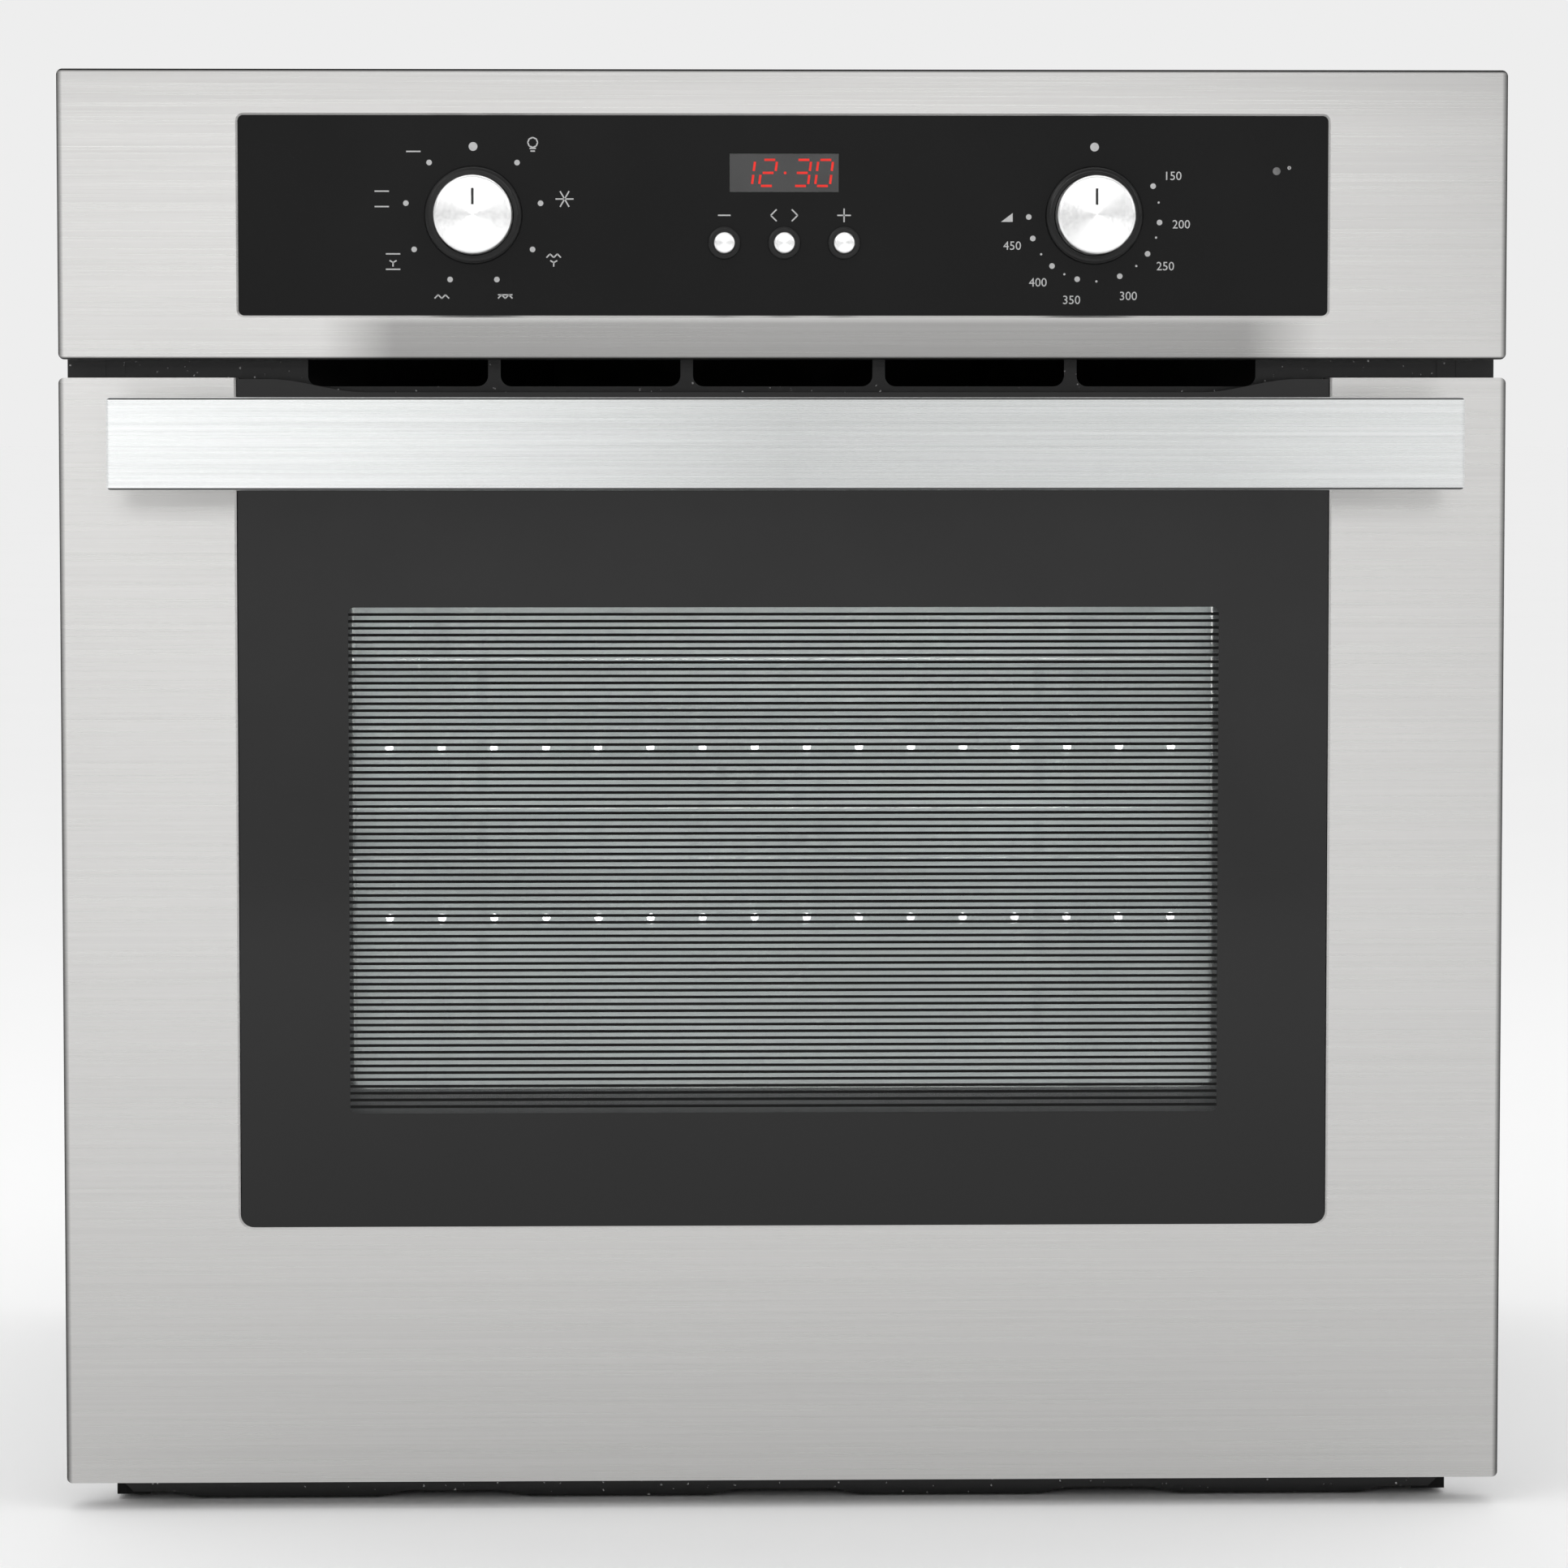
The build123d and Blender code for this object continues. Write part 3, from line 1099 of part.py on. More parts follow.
# ---- Door skin: a folded U of steel, open at the top, around the outer glass -------------------
HINGE_NOTCH_WIDTH = 16.0
HINGE_NOTCH_TOP = 24.0
HINGE_NOTCH_FRONT = 3.0

with BuildPart() as door_skin:
    with BuildSketch(facing(0)):
        with Locations((0, MID_DOOR_Z)):
            RectangleRounded(WIDTH, DOOR_TOP - DOOR_BOTTOM, DOOR_CORNER)
    extrude(amount=-SKIN_DEPTH)
    with BuildSketch(facing(SHEET)):
        with Locations((0, MID_DOOR_Z)):
            RectangleRounded(WIDTH - 2 * SHEET, DOOR_TOP - DOOR_BOTTOM - 2 * SHEET, DOOR_CORNER - SHEET)
    extrude(amount=-SKIN_DEPTH, mode=Mode.SUBTRACT)
    with BuildSketch(facing(0)):
        with Locations((0, (DOOR_GLASS_BOTTOM + HEIGHT) / 2)):
            RectangleRounded(DOOR_GLASS_OPENING, HEIGHT - DOOR_GLASS_BOTTOM, DOOR_OPENING_CORNER)
    extrude(amount=-SKIN_DEPTH, mode=Mode.SUBTRACT)
    front_face = door_skin.faces().filter_by(Axis.Y).sort_by(Axis.Y)[0]
    opening_edges = front_face.edges().filter_by(
        lambda edge: abs(edge.center().X) < DOOR_GLASS_OPENING / 2 + GAP
        and edge.center().Z > DOOR_GLASS_BOTTOM - GAP
    )
    chamfer(opening_edges, length=EDGE_BEVEL)
    with BuildSketch(facing(HINGE_NOTCH_FRONT)):
        for side in (-1, 1):
            with Locations((side * HINGE_X, DOOR_BOTTOM)):
                Rectangle(HINGE_NOTCH_WIDTH, 4 * SHEET)
    extrude(amount=-SKIN_DEPTH, mode=Mode.SUBTRACT)
    with BuildSketch(facing(0)):
        for side in (-1, 1):
            with Locations((side * POST_X, HANDLE_Z)):
                Circle(HANDLE_SCREW_RADIUS)
    extrude(amount=-SHEET, mode=Mode.SUBTRACT)

# ---- Door glasses -------------------------------------------------------------------------------
OUTER_GLASS_WIDTH = 470.0
OUTER_GLASS_BOTTOM = 108.0
OUTER_GLASS_TOP = 468.4
OUTER_GLASS_SHOULDER = 467.7
OUTER_GLASS_DIP = 463.0
EAR_X = DOOR_GLASS_OPENING / 2 - GAP
DIP_OUTER_X = 211.0
DIP_INNER_X = 172.0
OUTER_GLASS_THICKNESS = 4.0
MIDDLE_GLASS_WIDTH = 389.0
MIDDLE_GLASS_BOTTOM = 145.2
MIDDLE_GLASS_TOP = 394.6
MIDDLE_GLASS_CORNER = 4.0
MIDDLE_GLASS_FRONT = 12.0
MIDDLE_GLASS_THICKNESS = 3.0
INNER_GLASS_FRONT = 17.5
INNER_GLASS_THICKNESS = 4.0
INNER_GLASS_WIDTH = 480.0
INNER_GLASS_BOTTOM = 52.0
INNER_GLASS_TOP = 440.0
INNER_GLASS_CORNER = 8.0

with BuildPart() as outer_glass:
    with BuildSketch(facing(GLASS_FRONT)):
        with BuildLine():
            left_slope = Spline(
                (-DIP_OUTER_X, OUTER_GLASS_TOP),
                (-DIP_INNER_X, OUTER_GLASS_DIP),
                tangents=((1, 0), (1, 0)),
            )
            right_slope = Spline(
                (DIP_INNER_X, OUTER_GLASS_DIP),
                (DIP_OUTER_X, OUTER_GLASS_TOP),
                tangents=((1, 0), (1, 0)),
            )
            Line(left_slope @ 1, right_slope @ 0)
            Polyline(
                right_slope @ 1,
                (EAR_X, OUTER_GLASS_TOP),
                (EAR_X, OUTER_GLASS_SHOULDER),
                (OUTER_GLASS_WIDTH / 2, OUTER_GLASS_SHOULDER),
                (OUTER_GLASS_WIDTH / 2, OUTER_GLASS_BOTTOM),
                (-OUTER_GLASS_WIDTH / 2, OUTER_GLASS_BOTTOM),
                (-OUTER_GLASS_WIDTH / 2, OUTER_GLASS_SHOULDER),
                (-EAR_X, OUTER_GLASS_SHOULDER),
                (-EAR_X, OUTER_GLASS_TOP),
                left_slope @ 0,
            )
        make_face()
    extrude(amount=-OUTER_GLASS_THICKNESS)

with BuildPart() as middle_glass:
    with BuildSketch(facing(MIDDLE_GLASS_FRONT)):
        with Locations((0, (MIDDLE_GLASS_BOTTOM + MIDDLE_GLASS_TOP) / 2)):
            middle_height = MIDDLE_GLASS_TOP - MIDDLE_GLASS_BOTTOM
            RectangleRounded(MIDDLE_GLASS_WIDTH, middle_height, MIDDLE_GLASS_CORNER)
    extrude(amount=-MIDDLE_GLASS_THICKNESS)

with BuildPart() as inner_glass:
    with BuildSketch(facing(INNER_GLASS_FRONT)):
        with Locations((0, (INNER_GLASS_BOTTOM + INNER_GLASS_TOP) / 2)):
            RectangleRounded(INNER_GLASS_WIDTH, INNER_GLASS_TOP - INNER_GLASS_BOTTOM, INNER_GLASS_CORNER)
    extrude(amount=-INNER_GLASS_THICKNESS)

# ---- Door frame: a pressed tray that holds the inner glasses -----------------------------------
FRAME_FRONT = 6.0
FRAME_BACK = 17.0
FRAME_WIDTH = 590.0
FRAME_BOTTOM = 13.5
FRAME_TOP = 461.5
FRAME_WINDOW_WIDTH = 357.2
FRAME_WINDOW_BOTTOM = 173.7
FRAME_WINDOW_TOP = 386.0
FRAME_WINDOW_CORNER = 6.0

with BuildPart() as door_frame:
    with BuildSketch(facing(FRAME_FRONT)):
        with Locations((0, (FRAME_BOTTOM + FRAME_TOP) / 2)):
            RectangleRounded(FRAME_WIDTH, FRAME_TOP - FRAME_BOTTOM, 2 * SHEET)
    extrude(amount=-(FRAME_BACK - FRAME_FRONT))
    offset(amount=-SHEET, openings=door_frame.faces().sort_by(Axis.Y)[0])
    with BuildSketch(facing(FRAME_BACK)):
        with Locations((0, (FRAME_WINDOW_BOTTOM + FRAME_WINDOW_TOP) / 2)):
            frame_window_height = FRAME_WINDOW_TOP - FRAME_WINDOW_BOTTOM
            RectangleRounded(FRAME_WINDOW_WIDTH, frame_window_height, FRAME_WINDOW_CORNER)
    extrude(amount=2 * SHEET, mode=Mode.SUBTRACT)
    with BuildSketch(facing(FRAME_FRONT)):
        for side in (-1, 1):
            with Locations((side * HINGE_X, HINGE_NOTCH_TOP / 2)):
                Rectangle(HINGE_NOTCH_WIDTH, HINGE_NOTCH_TOP + 2 * LUG_RADIUS)
    extrude(amount=-2 * FRAME_BACK, mode=Mode.SUBTRACT)

RETAINER_WIDTH = 30.0
RETAINER_HEIGHT = 20.0
RETAINER_BACK = 22.5
RETAINER_LAP = 3.0
RETAINER_CORNER = 3.0
RETAINER_FIT = 0.1

with BuildPart() as glass_retainers:
    with BuildSketch(facing(FRAME_BACK)):
        retainer_x = (INNER_GLASS_WIDTH + RETAINER_WIDTH) / 2 - RETAINER_LAP
        low_z = INNER_GLASS_BOTTOM + 2 * RETAINER_HEIGHT
        high_z = INNER_GLASS_TOP - 2 * RETAINER_HEIGHT
        for side in (-1, 1):
            for retainer_z in (low_z, high_z):
                with Locations((side * retainer_x, retainer_z)):
                    RectangleRounded(RETAINER_WIDTH, RETAINER_HEIGHT, RETAINER_CORNER)
    extrude(amount=-(RETAINER_BACK - FRAME_BACK))
    with BuildSketch(facing(FRAME_BACK)):
        with Locations((0, (INNER_GLASS_BOTTOM + INNER_GLASS_TOP) / 2)):
            Rectangle(INNER_GLASS_WIDTH + GAP, INNER_GLASS_TOP - INNER_GLASS_BOTTOM)
    inner_glass_back = INNER_GLASS_FRONT + INNER_GLASS_THICKNESS
    extrude(amount=-(inner_glass_back + RETAINER_FIT - FRAME_BACK), mode=Mode.SUBTRACT)

# ---- Handle: a flat bar on two posts, each held by a screw from inside the door ----------------
HANDLE_EDGE = 1.5
POST_WIDTH = 16.0
POST_HEIGHT = 26.0
POST_CORNER = 3.0
SCREW_DEPTH = 16.0
SCREW_HEAD_DEPTH = 3.0

with BuildPart() as handle_bar:
    with BuildSketch(facing(-HANDLE_REACH)):
        with Locations((0, HANDLE_Z)):
            RectangleRounded(HANDLE_LENGTH, HANDLE_TOP - HANDLE_BOTTOM, HANDLE_EDGE)
    extrude(amount=-HANDLE_THICKNESS)
    fillet(handle_bar.faces().sort_by(Axis.Y)[0].edges(), radius=SHEET)
    fillet(handle_bar.faces().sort_by(Axis.Y)[-1].edges(), radius=SHEET)

with BuildPart() as handle_posts:
    with BuildSketch(facing(-HANDLE_REACH + HANDLE_THICKNESS)):
        for side in (-1, 1):
            with Locations((side * POST_X, HANDLE_Z)):
                RectangleRounded(POST_WIDTH, POST_HEIGHT, POST_CORNER)
    extrude(amount=-(HANDLE_REACH - HANDLE_THICKNESS))
    with BuildSketch(facing(0)):
        for side in (-1, 1):
            with Locations((side * POST_X, HANDLE_Z)):
                Circle(HANDLE_SCREW_RADIUS)
    extrude(amount=SCREW_DEPTH, mode=Mode.SUBTRACT)

with BuildPart() as handle_screws:
    with BuildSketch(facing(SHEET)):
        for side in (-1, 1):
            with Locations((side * POST_X, HANDLE_Z)):
                Circle(HANDLE_SCREW_RADIUS)
    extrude(amount=SCREW_DEPTH + SHEET - GAP)
    with BuildSketch(facing(SHEET)):
        for side in (-1, 1):
            with Locations((side * POST_X, HANDLE_Z)):
                Circle(2 * HANDLE_SCREW_RADIUS)
    extrude(amount=-SCREW_HEAD_DEPTH)

# ---- Write every piece ------------------------------------------------------------------------
PIECES = {
    "front_flange": front_flange,
    "bottom_trim": bottom_trim,
    "cavity_liner": cavity_liner,
    "insulation_blanket": insulation_blanket,
    "door_gasket": door_gasket,
    "base_pan": base_pan,
    "side_panels": side_panels,
    "top_cover": top_cover,
    "rear_panel": rear_panel,
    "rear_screws": rear_screws,
    "conduit_bushing": conduit_bushing,
    "terminal_box": terminal_box,
    "broil_element": broil_element,
    "bake_element": bake_element,
    "convection_element": convection_element,
    "fan_baffle": fan_baffle,
    "convection_fan": convection_fan,
    "convection_motor": convection_motor,
    "lamp_lens": lamp_lens,
    "lamp_bulb": lamp_bulb,
    "lamp_holder": lamp_holder,
    "temperature_sensor": temperature_sensor,
    "rack_guides": rack_guides,
    "lower_rack": lower_rack,
    "lower_rack_stop": lower_rack_stop,
    "upper_rack": upper_rack,
    "upper_rack_stop": upper_rack_stop,
    "control_fascia": control_fascia,
    "control_glass": control_glass,
    "display_window": display_window,
    "indicator_lens": indicator_lens,
    "knob_bezels": knob_bezels,
    "button_bezels": button_bezels,
    "mode_knob": mode_knob,
    "temperature_knob": temperature_knob,
    "mode_spindle": mode_spindle,
    "temperature_spindle": temperature_spindle,
    "mode_switch": mode_switch,
    "thermostat": thermostat,
    "minus_button": minus_button,
    "set_button": set_button,
    "plus_button": plus_button,
    "timer_board": timer_board,
    "air_duct": air_duct,
    "blower_housing": blower_housing,
    "cooling_fan": cooling_fan,
    "blower_motor": blower_motor,
    "left_hinge_bracket": left_hinge_bracket,
    "right_hinge_bracket": right_hinge_bracket,
    "left_hinge_arm": left_hinge_arm,
    "right_hinge_arm": right_hinge_arm,
    "door_skin": door_skin,
    "outer_glass": outer_glass,
    "middle_glass": middle_glass,
    "inner_glass": inner_glass,
    "door_frame": door_frame,
    "glass_retainers": glass_retainers,
    "handle_bar": handle_bar,
    "handle_posts": handle_posts,
    "handle_screws": handle_screws,
}

for name, piece in PIECES.items():
    piece.part.label = name
    export_step(piece.part, f"parts/{name}.step")
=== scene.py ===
"""Looks for the built-in wall oven: materials, printed marks, lights and camera.

Metres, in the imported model's frame: +X to the right of a user facing the oven, +Y to its back,
+Z up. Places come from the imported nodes' boxes.
"""

import json
import math

import bmesh
import bpy
from mathutils import Matrix, Vector


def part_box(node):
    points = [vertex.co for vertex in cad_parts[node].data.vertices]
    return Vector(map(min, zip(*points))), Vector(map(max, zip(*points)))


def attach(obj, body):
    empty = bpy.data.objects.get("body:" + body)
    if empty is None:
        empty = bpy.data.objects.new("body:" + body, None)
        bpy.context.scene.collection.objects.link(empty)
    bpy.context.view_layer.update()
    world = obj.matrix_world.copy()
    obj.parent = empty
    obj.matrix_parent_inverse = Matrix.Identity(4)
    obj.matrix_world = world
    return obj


MM = 0.001

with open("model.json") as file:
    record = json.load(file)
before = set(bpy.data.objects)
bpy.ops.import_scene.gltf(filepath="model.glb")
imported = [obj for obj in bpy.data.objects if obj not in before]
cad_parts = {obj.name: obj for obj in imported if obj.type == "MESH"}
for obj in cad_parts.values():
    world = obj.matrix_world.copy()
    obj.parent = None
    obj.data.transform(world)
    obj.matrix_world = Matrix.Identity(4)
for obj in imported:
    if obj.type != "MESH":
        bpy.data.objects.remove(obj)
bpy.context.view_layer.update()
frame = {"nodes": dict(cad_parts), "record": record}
nodes = frame["nodes"]

FRONT_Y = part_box("control_fascia")[0].y
GLASS_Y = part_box("control_glass")[0].y


# ---- Camera and area lights ---------------------------------------------------------------------
CAMERA_DISTANCE = 2.5
CAMERA_X = -0.0647
CAMERA_Z = 0.4682
CAMERA_PITCH = math.radians(3.81)
CAMERA_YAW = math.radians(1.48)
SENSOR = 36.0
IMAGE_SIDE = 1932
FOCAL_PIXELS = 7481


def add_camera():
    """A long lens, a little left of the middle, that looks slightly down."""
    data = bpy.data.cameras.new("camera")
    data.sensor_width = SENSOR
    data.lens = SENSOR * FOCAL_PIXELS / IMAGE_SIDE
    camera = bpy.data.objects.new("camera", data)
    bpy.context.scene.collection.objects.link(camera)
    camera.location = (CAMERA_X, FRONT_Y - CAMERA_DISTANCE, CAMERA_Z)
    camera.rotation_euler = (math.pi / 2 - CAMERA_PITCH, 0, -CAMERA_YAW)
    bpy.context.scene.camera = camera


def add_area(name, place, target, size, power, colour=(1, 1, 1)):
    """A soft rectangular light that faces a point."""
    data = bpy.data.lights.new(name, "AREA")
    data.shape = "RECTANGLE"
    data.size, data.size_y = size
    data.energy = power
    data.color = colour
    lamp = bpy.data.objects.new(name, data)
    bpy.context.scene.collection.objects.link(lamp)
    lamp.location = place
    lamp.rotation_euler = (Vector(target) - Vector(place)).to_track_quat("-Z", "Y").to_euler()
    return lamp


# ---- Material kit -------------------------------------------------------------------------------
NOISE_REACH = (0.3, 0.7)  # Noise lies almost wholly between these values


def map_range(tree, value, source, target):
    """A socket of a node tree mapped from one range to another."""
    mapped = tree.nodes.new("ShaderNodeMapRange")
    for socket, number in zip(("From Min", "From Max", "To Min", "To Max"), (*source, *target)):
        mapped.inputs[socket].default_value = number
    tree.links.new(value, mapped.inputs["Value"])
    return mapped.outputs["Result"]


class Shader:
    """A small wrapper that adds and links nodes around one Principled shader."""

    def __init__(self, name, colour=(0.5, 0.5, 0.5), roughness=0.5, metallic=0.0):
        self.material = bpy.data.materials.new(name)
        self.material.use_nodes = True
        self.tree = self.material.node_tree
        self.shader = self.tree.nodes["Principled BSDF"]
        self.set("Base Color", (*colour, 1))
        self.set("Roughness", roughness)
        self.set("Metallic", metallic)

    def set(self, socket, value):
        self.shader.inputs[socket].default_value = value

    def node(self, kind, **settings):
        made = self.tree.nodes.new(kind)
        for key, value in settings.items():
            setattr(made, key, value)
        return made

    def link(self, source, target):
        self.tree.links.new(source, target)

    def coordinates(self, scale=(1, 1, 1)):
        """Object coordinates in metres, multiplied by a scale for each axis."""
        place = self.node("ShaderNodeTexCoord")
        mapping = self.node("ShaderNodeMapping")
        mapping.inputs["Scale"].default_value = scale
        self.link(place.outputs["Object"], mapping.inputs["Vector"])
        return mapping.outputs["Vector"]

    def noise(self, scale, detail=3.0, stretch=(1, 1, 1), roughness=0.5):
        texture = self.node("ShaderNodeTexNoise")
        texture.inputs["Scale"].default_value = scale
        texture.inputs["Detail"].default_value = detail
        texture.inputs["Roughness"].default_value = roughness
        self.link(self.coordinates(stretch), texture.inputs["Vector"])
        return texture.outputs["Fac"]

    def ramp(self, factor, stops):
        """A colour ramp: stops are (position, colour) pairs."""
        ramp = self.node("ShaderNodeValToRGB")
        elements = ramp.color_ramp.elements
        while len(elements) < len(stops):
            elements.new(0.5)
        for element, (position, colour) in zip(elements, stops):
            element.position = position
            element.color = (*colour, 1)
        self.link(factor, ramp.inputs["Fac"])
        return ramp.outputs["Color"]

    def spread(self, factor, low, high, source=(0, 1)):
        """The factor mapped from one range to another."""
        return map_range(self.tree, factor, source, (low, high))

    def between(self, noise, dark, light):
        """Two colours that a noise blends over the whole of its reach."""
        return self.ramp(noise, list(zip(NOISE_REACH, (dark, light))))

    def bump(self, height, strength, distance):
        bump = self.node("ShaderNodeBump")
        bump.inputs["Strength"].default_value = strength
        bump.inputs["Distance"].default_value = distance
        self.link(height, bump.inputs["Height"])
        self.link(bump.outputs["Normal"], self.shader.inputs["Normal"])

    def drive(self, socket, value):
        self.link(value, self.shader.inputs[socket])


def grey(value):
    return (value, value, value)


def multiplied(shader, first, second):
    """The product of two colour or value sockets."""
    product = shader.node("ShaderNodeVectorMath", operation="MULTIPLY")
    shader.link(first, product.inputs[0])
    shader.link(second, product.inputs[1])
    return product.outputs["Vector"]


def blended(shader, factor, first, second):
    """The first colour where the factor is 0 and the second where it is 1: sockets or constants."""
    blend = shader.node("ShaderNodeMix", data_type="RGBA", blend_type="MIX")
    shader.link(factor, blend.inputs["Factor"])
    for socket, colour in (("A", first), ("B", second)):
        if isinstance(colour, tuple):
            blend.inputs[socket].default_value = (*colour, 1)
        else:
            shader.link(colour, blend.inputs[socket])
    return blend.outputs["Result"]


WARM = (1.0, 0.99, 0.975)
COOL = (0.985, 1.0, 1.0)


def share_along(shader, axis, stops):
    """A grey ramp along an axis: stops are (place in metres, share)."""
    split = shader.node("ShaderNodeSeparateXYZ")
    shader.link(shader.coordinates(), split.inputs["Vector"])
    near, far = stops[0][0], stops[-1][0]
    along = shader.spread(split.outputs[axis], 0.0, 1.0, (near, far))
    shares = [((at - near) / (far - near), grey(share)) for at, share in stops]
    return shader.ramp(along, shares)


def shaded(shader, colour, axis, stops):
    """A colour multiplied by the shares of a ramp along an axis."""
    return multiplied(shader, colour, share_along(shader, axis, stops))


# Painted shade: a dark rim line along the edges of a front face.
EDGE_WIDTH = 0.75 * MM
EDGE_FADE = 0.35 * MM
RIM_SHADE_TONE = 0.03
FACING_FRONT = (-0.8, -0.6)  # The normal's Y of a face to the front, and of one turned away


def with_painted_rim_shade(shader, colour, node, axis):
    """A colour with a painted dark line of shade where a folded sheet's front face turns away."""
    low, high = (getattr(corner, axis.lower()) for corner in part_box(node))
    stops = [(low, RIM_SHADE_TONE), (low + EDGE_WIDTH, RIM_SHADE_TONE), (low + EDGE_WIDTH + EDGE_FADE, 1.0)]
    stops += [(low + high - at, share) for at, share in reversed(stops)]
    face = shader.node("ShaderNodeSeparateXYZ")
    shader.link(shader.node("ShaderNodeTexCoord").outputs["Normal"], face.inputs["Vector"])
    frontal = shader.spread(face.outputs["Y"], 1.0, 0.0, FACING_FRONT)
    return blended(shader, frontal, colour, shaded(shader, colour, axis, stops))


FINE_GRAIN_SHARE = 3.1


def brushed_steel(
    name, tone, grain=(2, 60, 900), roughness=0.3, anisotropy=0.6, tint=WARM, contrast=0.045
):
    """Steel with a fine grain along X: streaks in tone, gloss and height."""
    steel = Shader(name, metallic=1.0)
    streaks = steel.noise(1.0, 4.0, grain, 0.65)
    fine = steel.noise(1.0, 2.0, tuple(FINE_GRAIN_SHARE * g for g in grain))
    low, high = [tuple(tone * share * c for c in tint) for share in (1 - contrast, 1 + contrast)]
    steel.colour = steel.ramp(streaks, [(0.25, low), (0.75, high)])
    steel.drive("Base Color", steel.colour)
    gloss = steel.spread(fine, roughness - 0.05, roughness + 0.07, NOISE_REACH)
    steel.drive("Roughness", gloss)
    steel.set("Anisotropic", anisotropy)
    steel.bump(streaks, 0.12, 0.0001)
    return steel


def tangent_along(shader, axis):
    """Turns the shader's stretched highlights to follow the grain round or along an axis."""
    tangent = shader.node("ShaderNodeTangent", direction_type="RADIAL", axis=axis)
    shader.drive("Tangent", tangent.outputs["Tangent"])


SPECK_SCALE = 300.0
SPECK_CHOICE = (0.52, 0.60)
SPECK_FADE = 1.6


def speckled_enamel(name, base, speck, density=0.07, roughness=0.22):
    """Vitreous enamel with sparse fine specks and a slight orange peel."""
    enamel = Shader(name, roughness=roughness)
    specks = enamel.node("ShaderNodeTexVoronoi")
    specks.inputs["Scale"].default_value = SPECK_SCALE
    enamel.link(enamel.coordinates(), specks.inputs["Vector"])
    rim = [(density, grey(1)), (density * SPECK_FADE, grey(0))]
    dots = enamel.ramp(specks.outputs["Distance"], rim)
    chosen = enamel.ramp(enamel.noise(900, 1.0), list(zip(SPECK_CHOICE, (grey(0), grey(1)))))
    both = enamel.node("ShaderNodeMath", operation="MULTIPLY")
    enamel.link(dots, both.inputs[0])
    enamel.link(chosen, both.inputs[1])
    enamel.drive("Base Color", enamel.ramp(both.outputs[0], [(0.0, base), (1.0, speck)]))
    enamel.bump(enamel.noise(350, 2.0), 0.08, 0.0004)
    enamel.set("Specular IOR Level", 0.3)
    enamel.set("Coat Weight", 0.1)
    enamel.set("Coat Roughness", 0.12)
    return enamel


ZINC_TONE = 0.58
CRYSTAL_SCALE = 110.0


def spangled_zinc(name, tone):
    """Galvanised sheet: flat crystals a few millimetres across that differ slightly in tone."""
    zinc = Shader(name, metallic=0.9, roughness=0.42)
    crystals = zinc.node("ShaderNodeTexVoronoi")
    crystals.inputs["Scale"].default_value = CRYSTAL_SCALE
    zinc.link(zinc.coordinates(), crystals.inputs["Vector"])
    split = zinc.node("ShaderNodeSeparateColor")
    zinc.link(crystals.outputs["Color"], split.inputs["Color"])
    shade = split.outputs["Red"]
    zinc.colour = zinc.ramp(shade, [(0.0, grey(tone * 0.90)), (1.0, grey(tone * 1.05))])
    zinc.drive("Base Color", zinc.colour)
    zinc.drive("Roughness", zinc.spread(shade, 0.36, 0.46))
    zinc.bump(zinc.noise(160, 3.0), 0.05, 0.0005)
    return zinc


# Painted shade along the front edge of the side panels and the base pan.
FRONT_SHADE_DEPTH = 1.5 * MM
FRONT_SHADE_TONE = 0.02


def front_shaded_zinc(name, node):
    """Galvanised sheet with painted shade that blackens its front edge, next to the flange."""
    zinc = spangled_zinc(name, ZINC_TONE)
    low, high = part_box(node)
    stops = (
        (low.y, FRONT_SHADE_TONE),
        (low.y + FRONT_SHADE_DEPTH, FRONT_SHADE_TONE),
        (low.y + 2 * FRONT_SHADE_DEPTH, 1.0),
        (high.y, 1.0),
    )
    zinc.drive("Base Color", shaded(zinc, zinc.colour, "Y", stops))
    return zinc


def mottled(name, dark, light, scale, roughness, metallic=0.0, height=0.1, distance=0.0003):
    """A plain moulded, coated or turned surface: two close tones, uneven gloss, a fine texture."""
    plain = Shader(name, metallic=metallic)
    cloud = plain.noise(scale, 4.0)
    plain.drive("Base Color", plain.between(cloud, dark, light))
    gloss = plain.spread(cloud, roughness * 0.85, min(1.0, roughness * 1.2), NOISE_REACH)
    plain.drive("Roughness", gloss)
    plain.bump(plain.noise(scale * 6, 2.0), height, distance)
    return plain


def clear_glass(name, colour, alpha, roughness=0.03):
    """A thin pane: mostly see-through, with faint smears in its polish."""
    glass = Shader(name, colour)
    smears = glass.noise(18, 3.0)
    gloss = glass.spread(smears, roughness * 0.6, roughness * 1.8, NOISE_REACH)
    glass.drive("Roughness", gloss)
    glass.set("Alpha", alpha)
    glass.set("Specular IOR Level", 0.5)
    return glass


PAINTED_HAZE_GLOW = 0.10


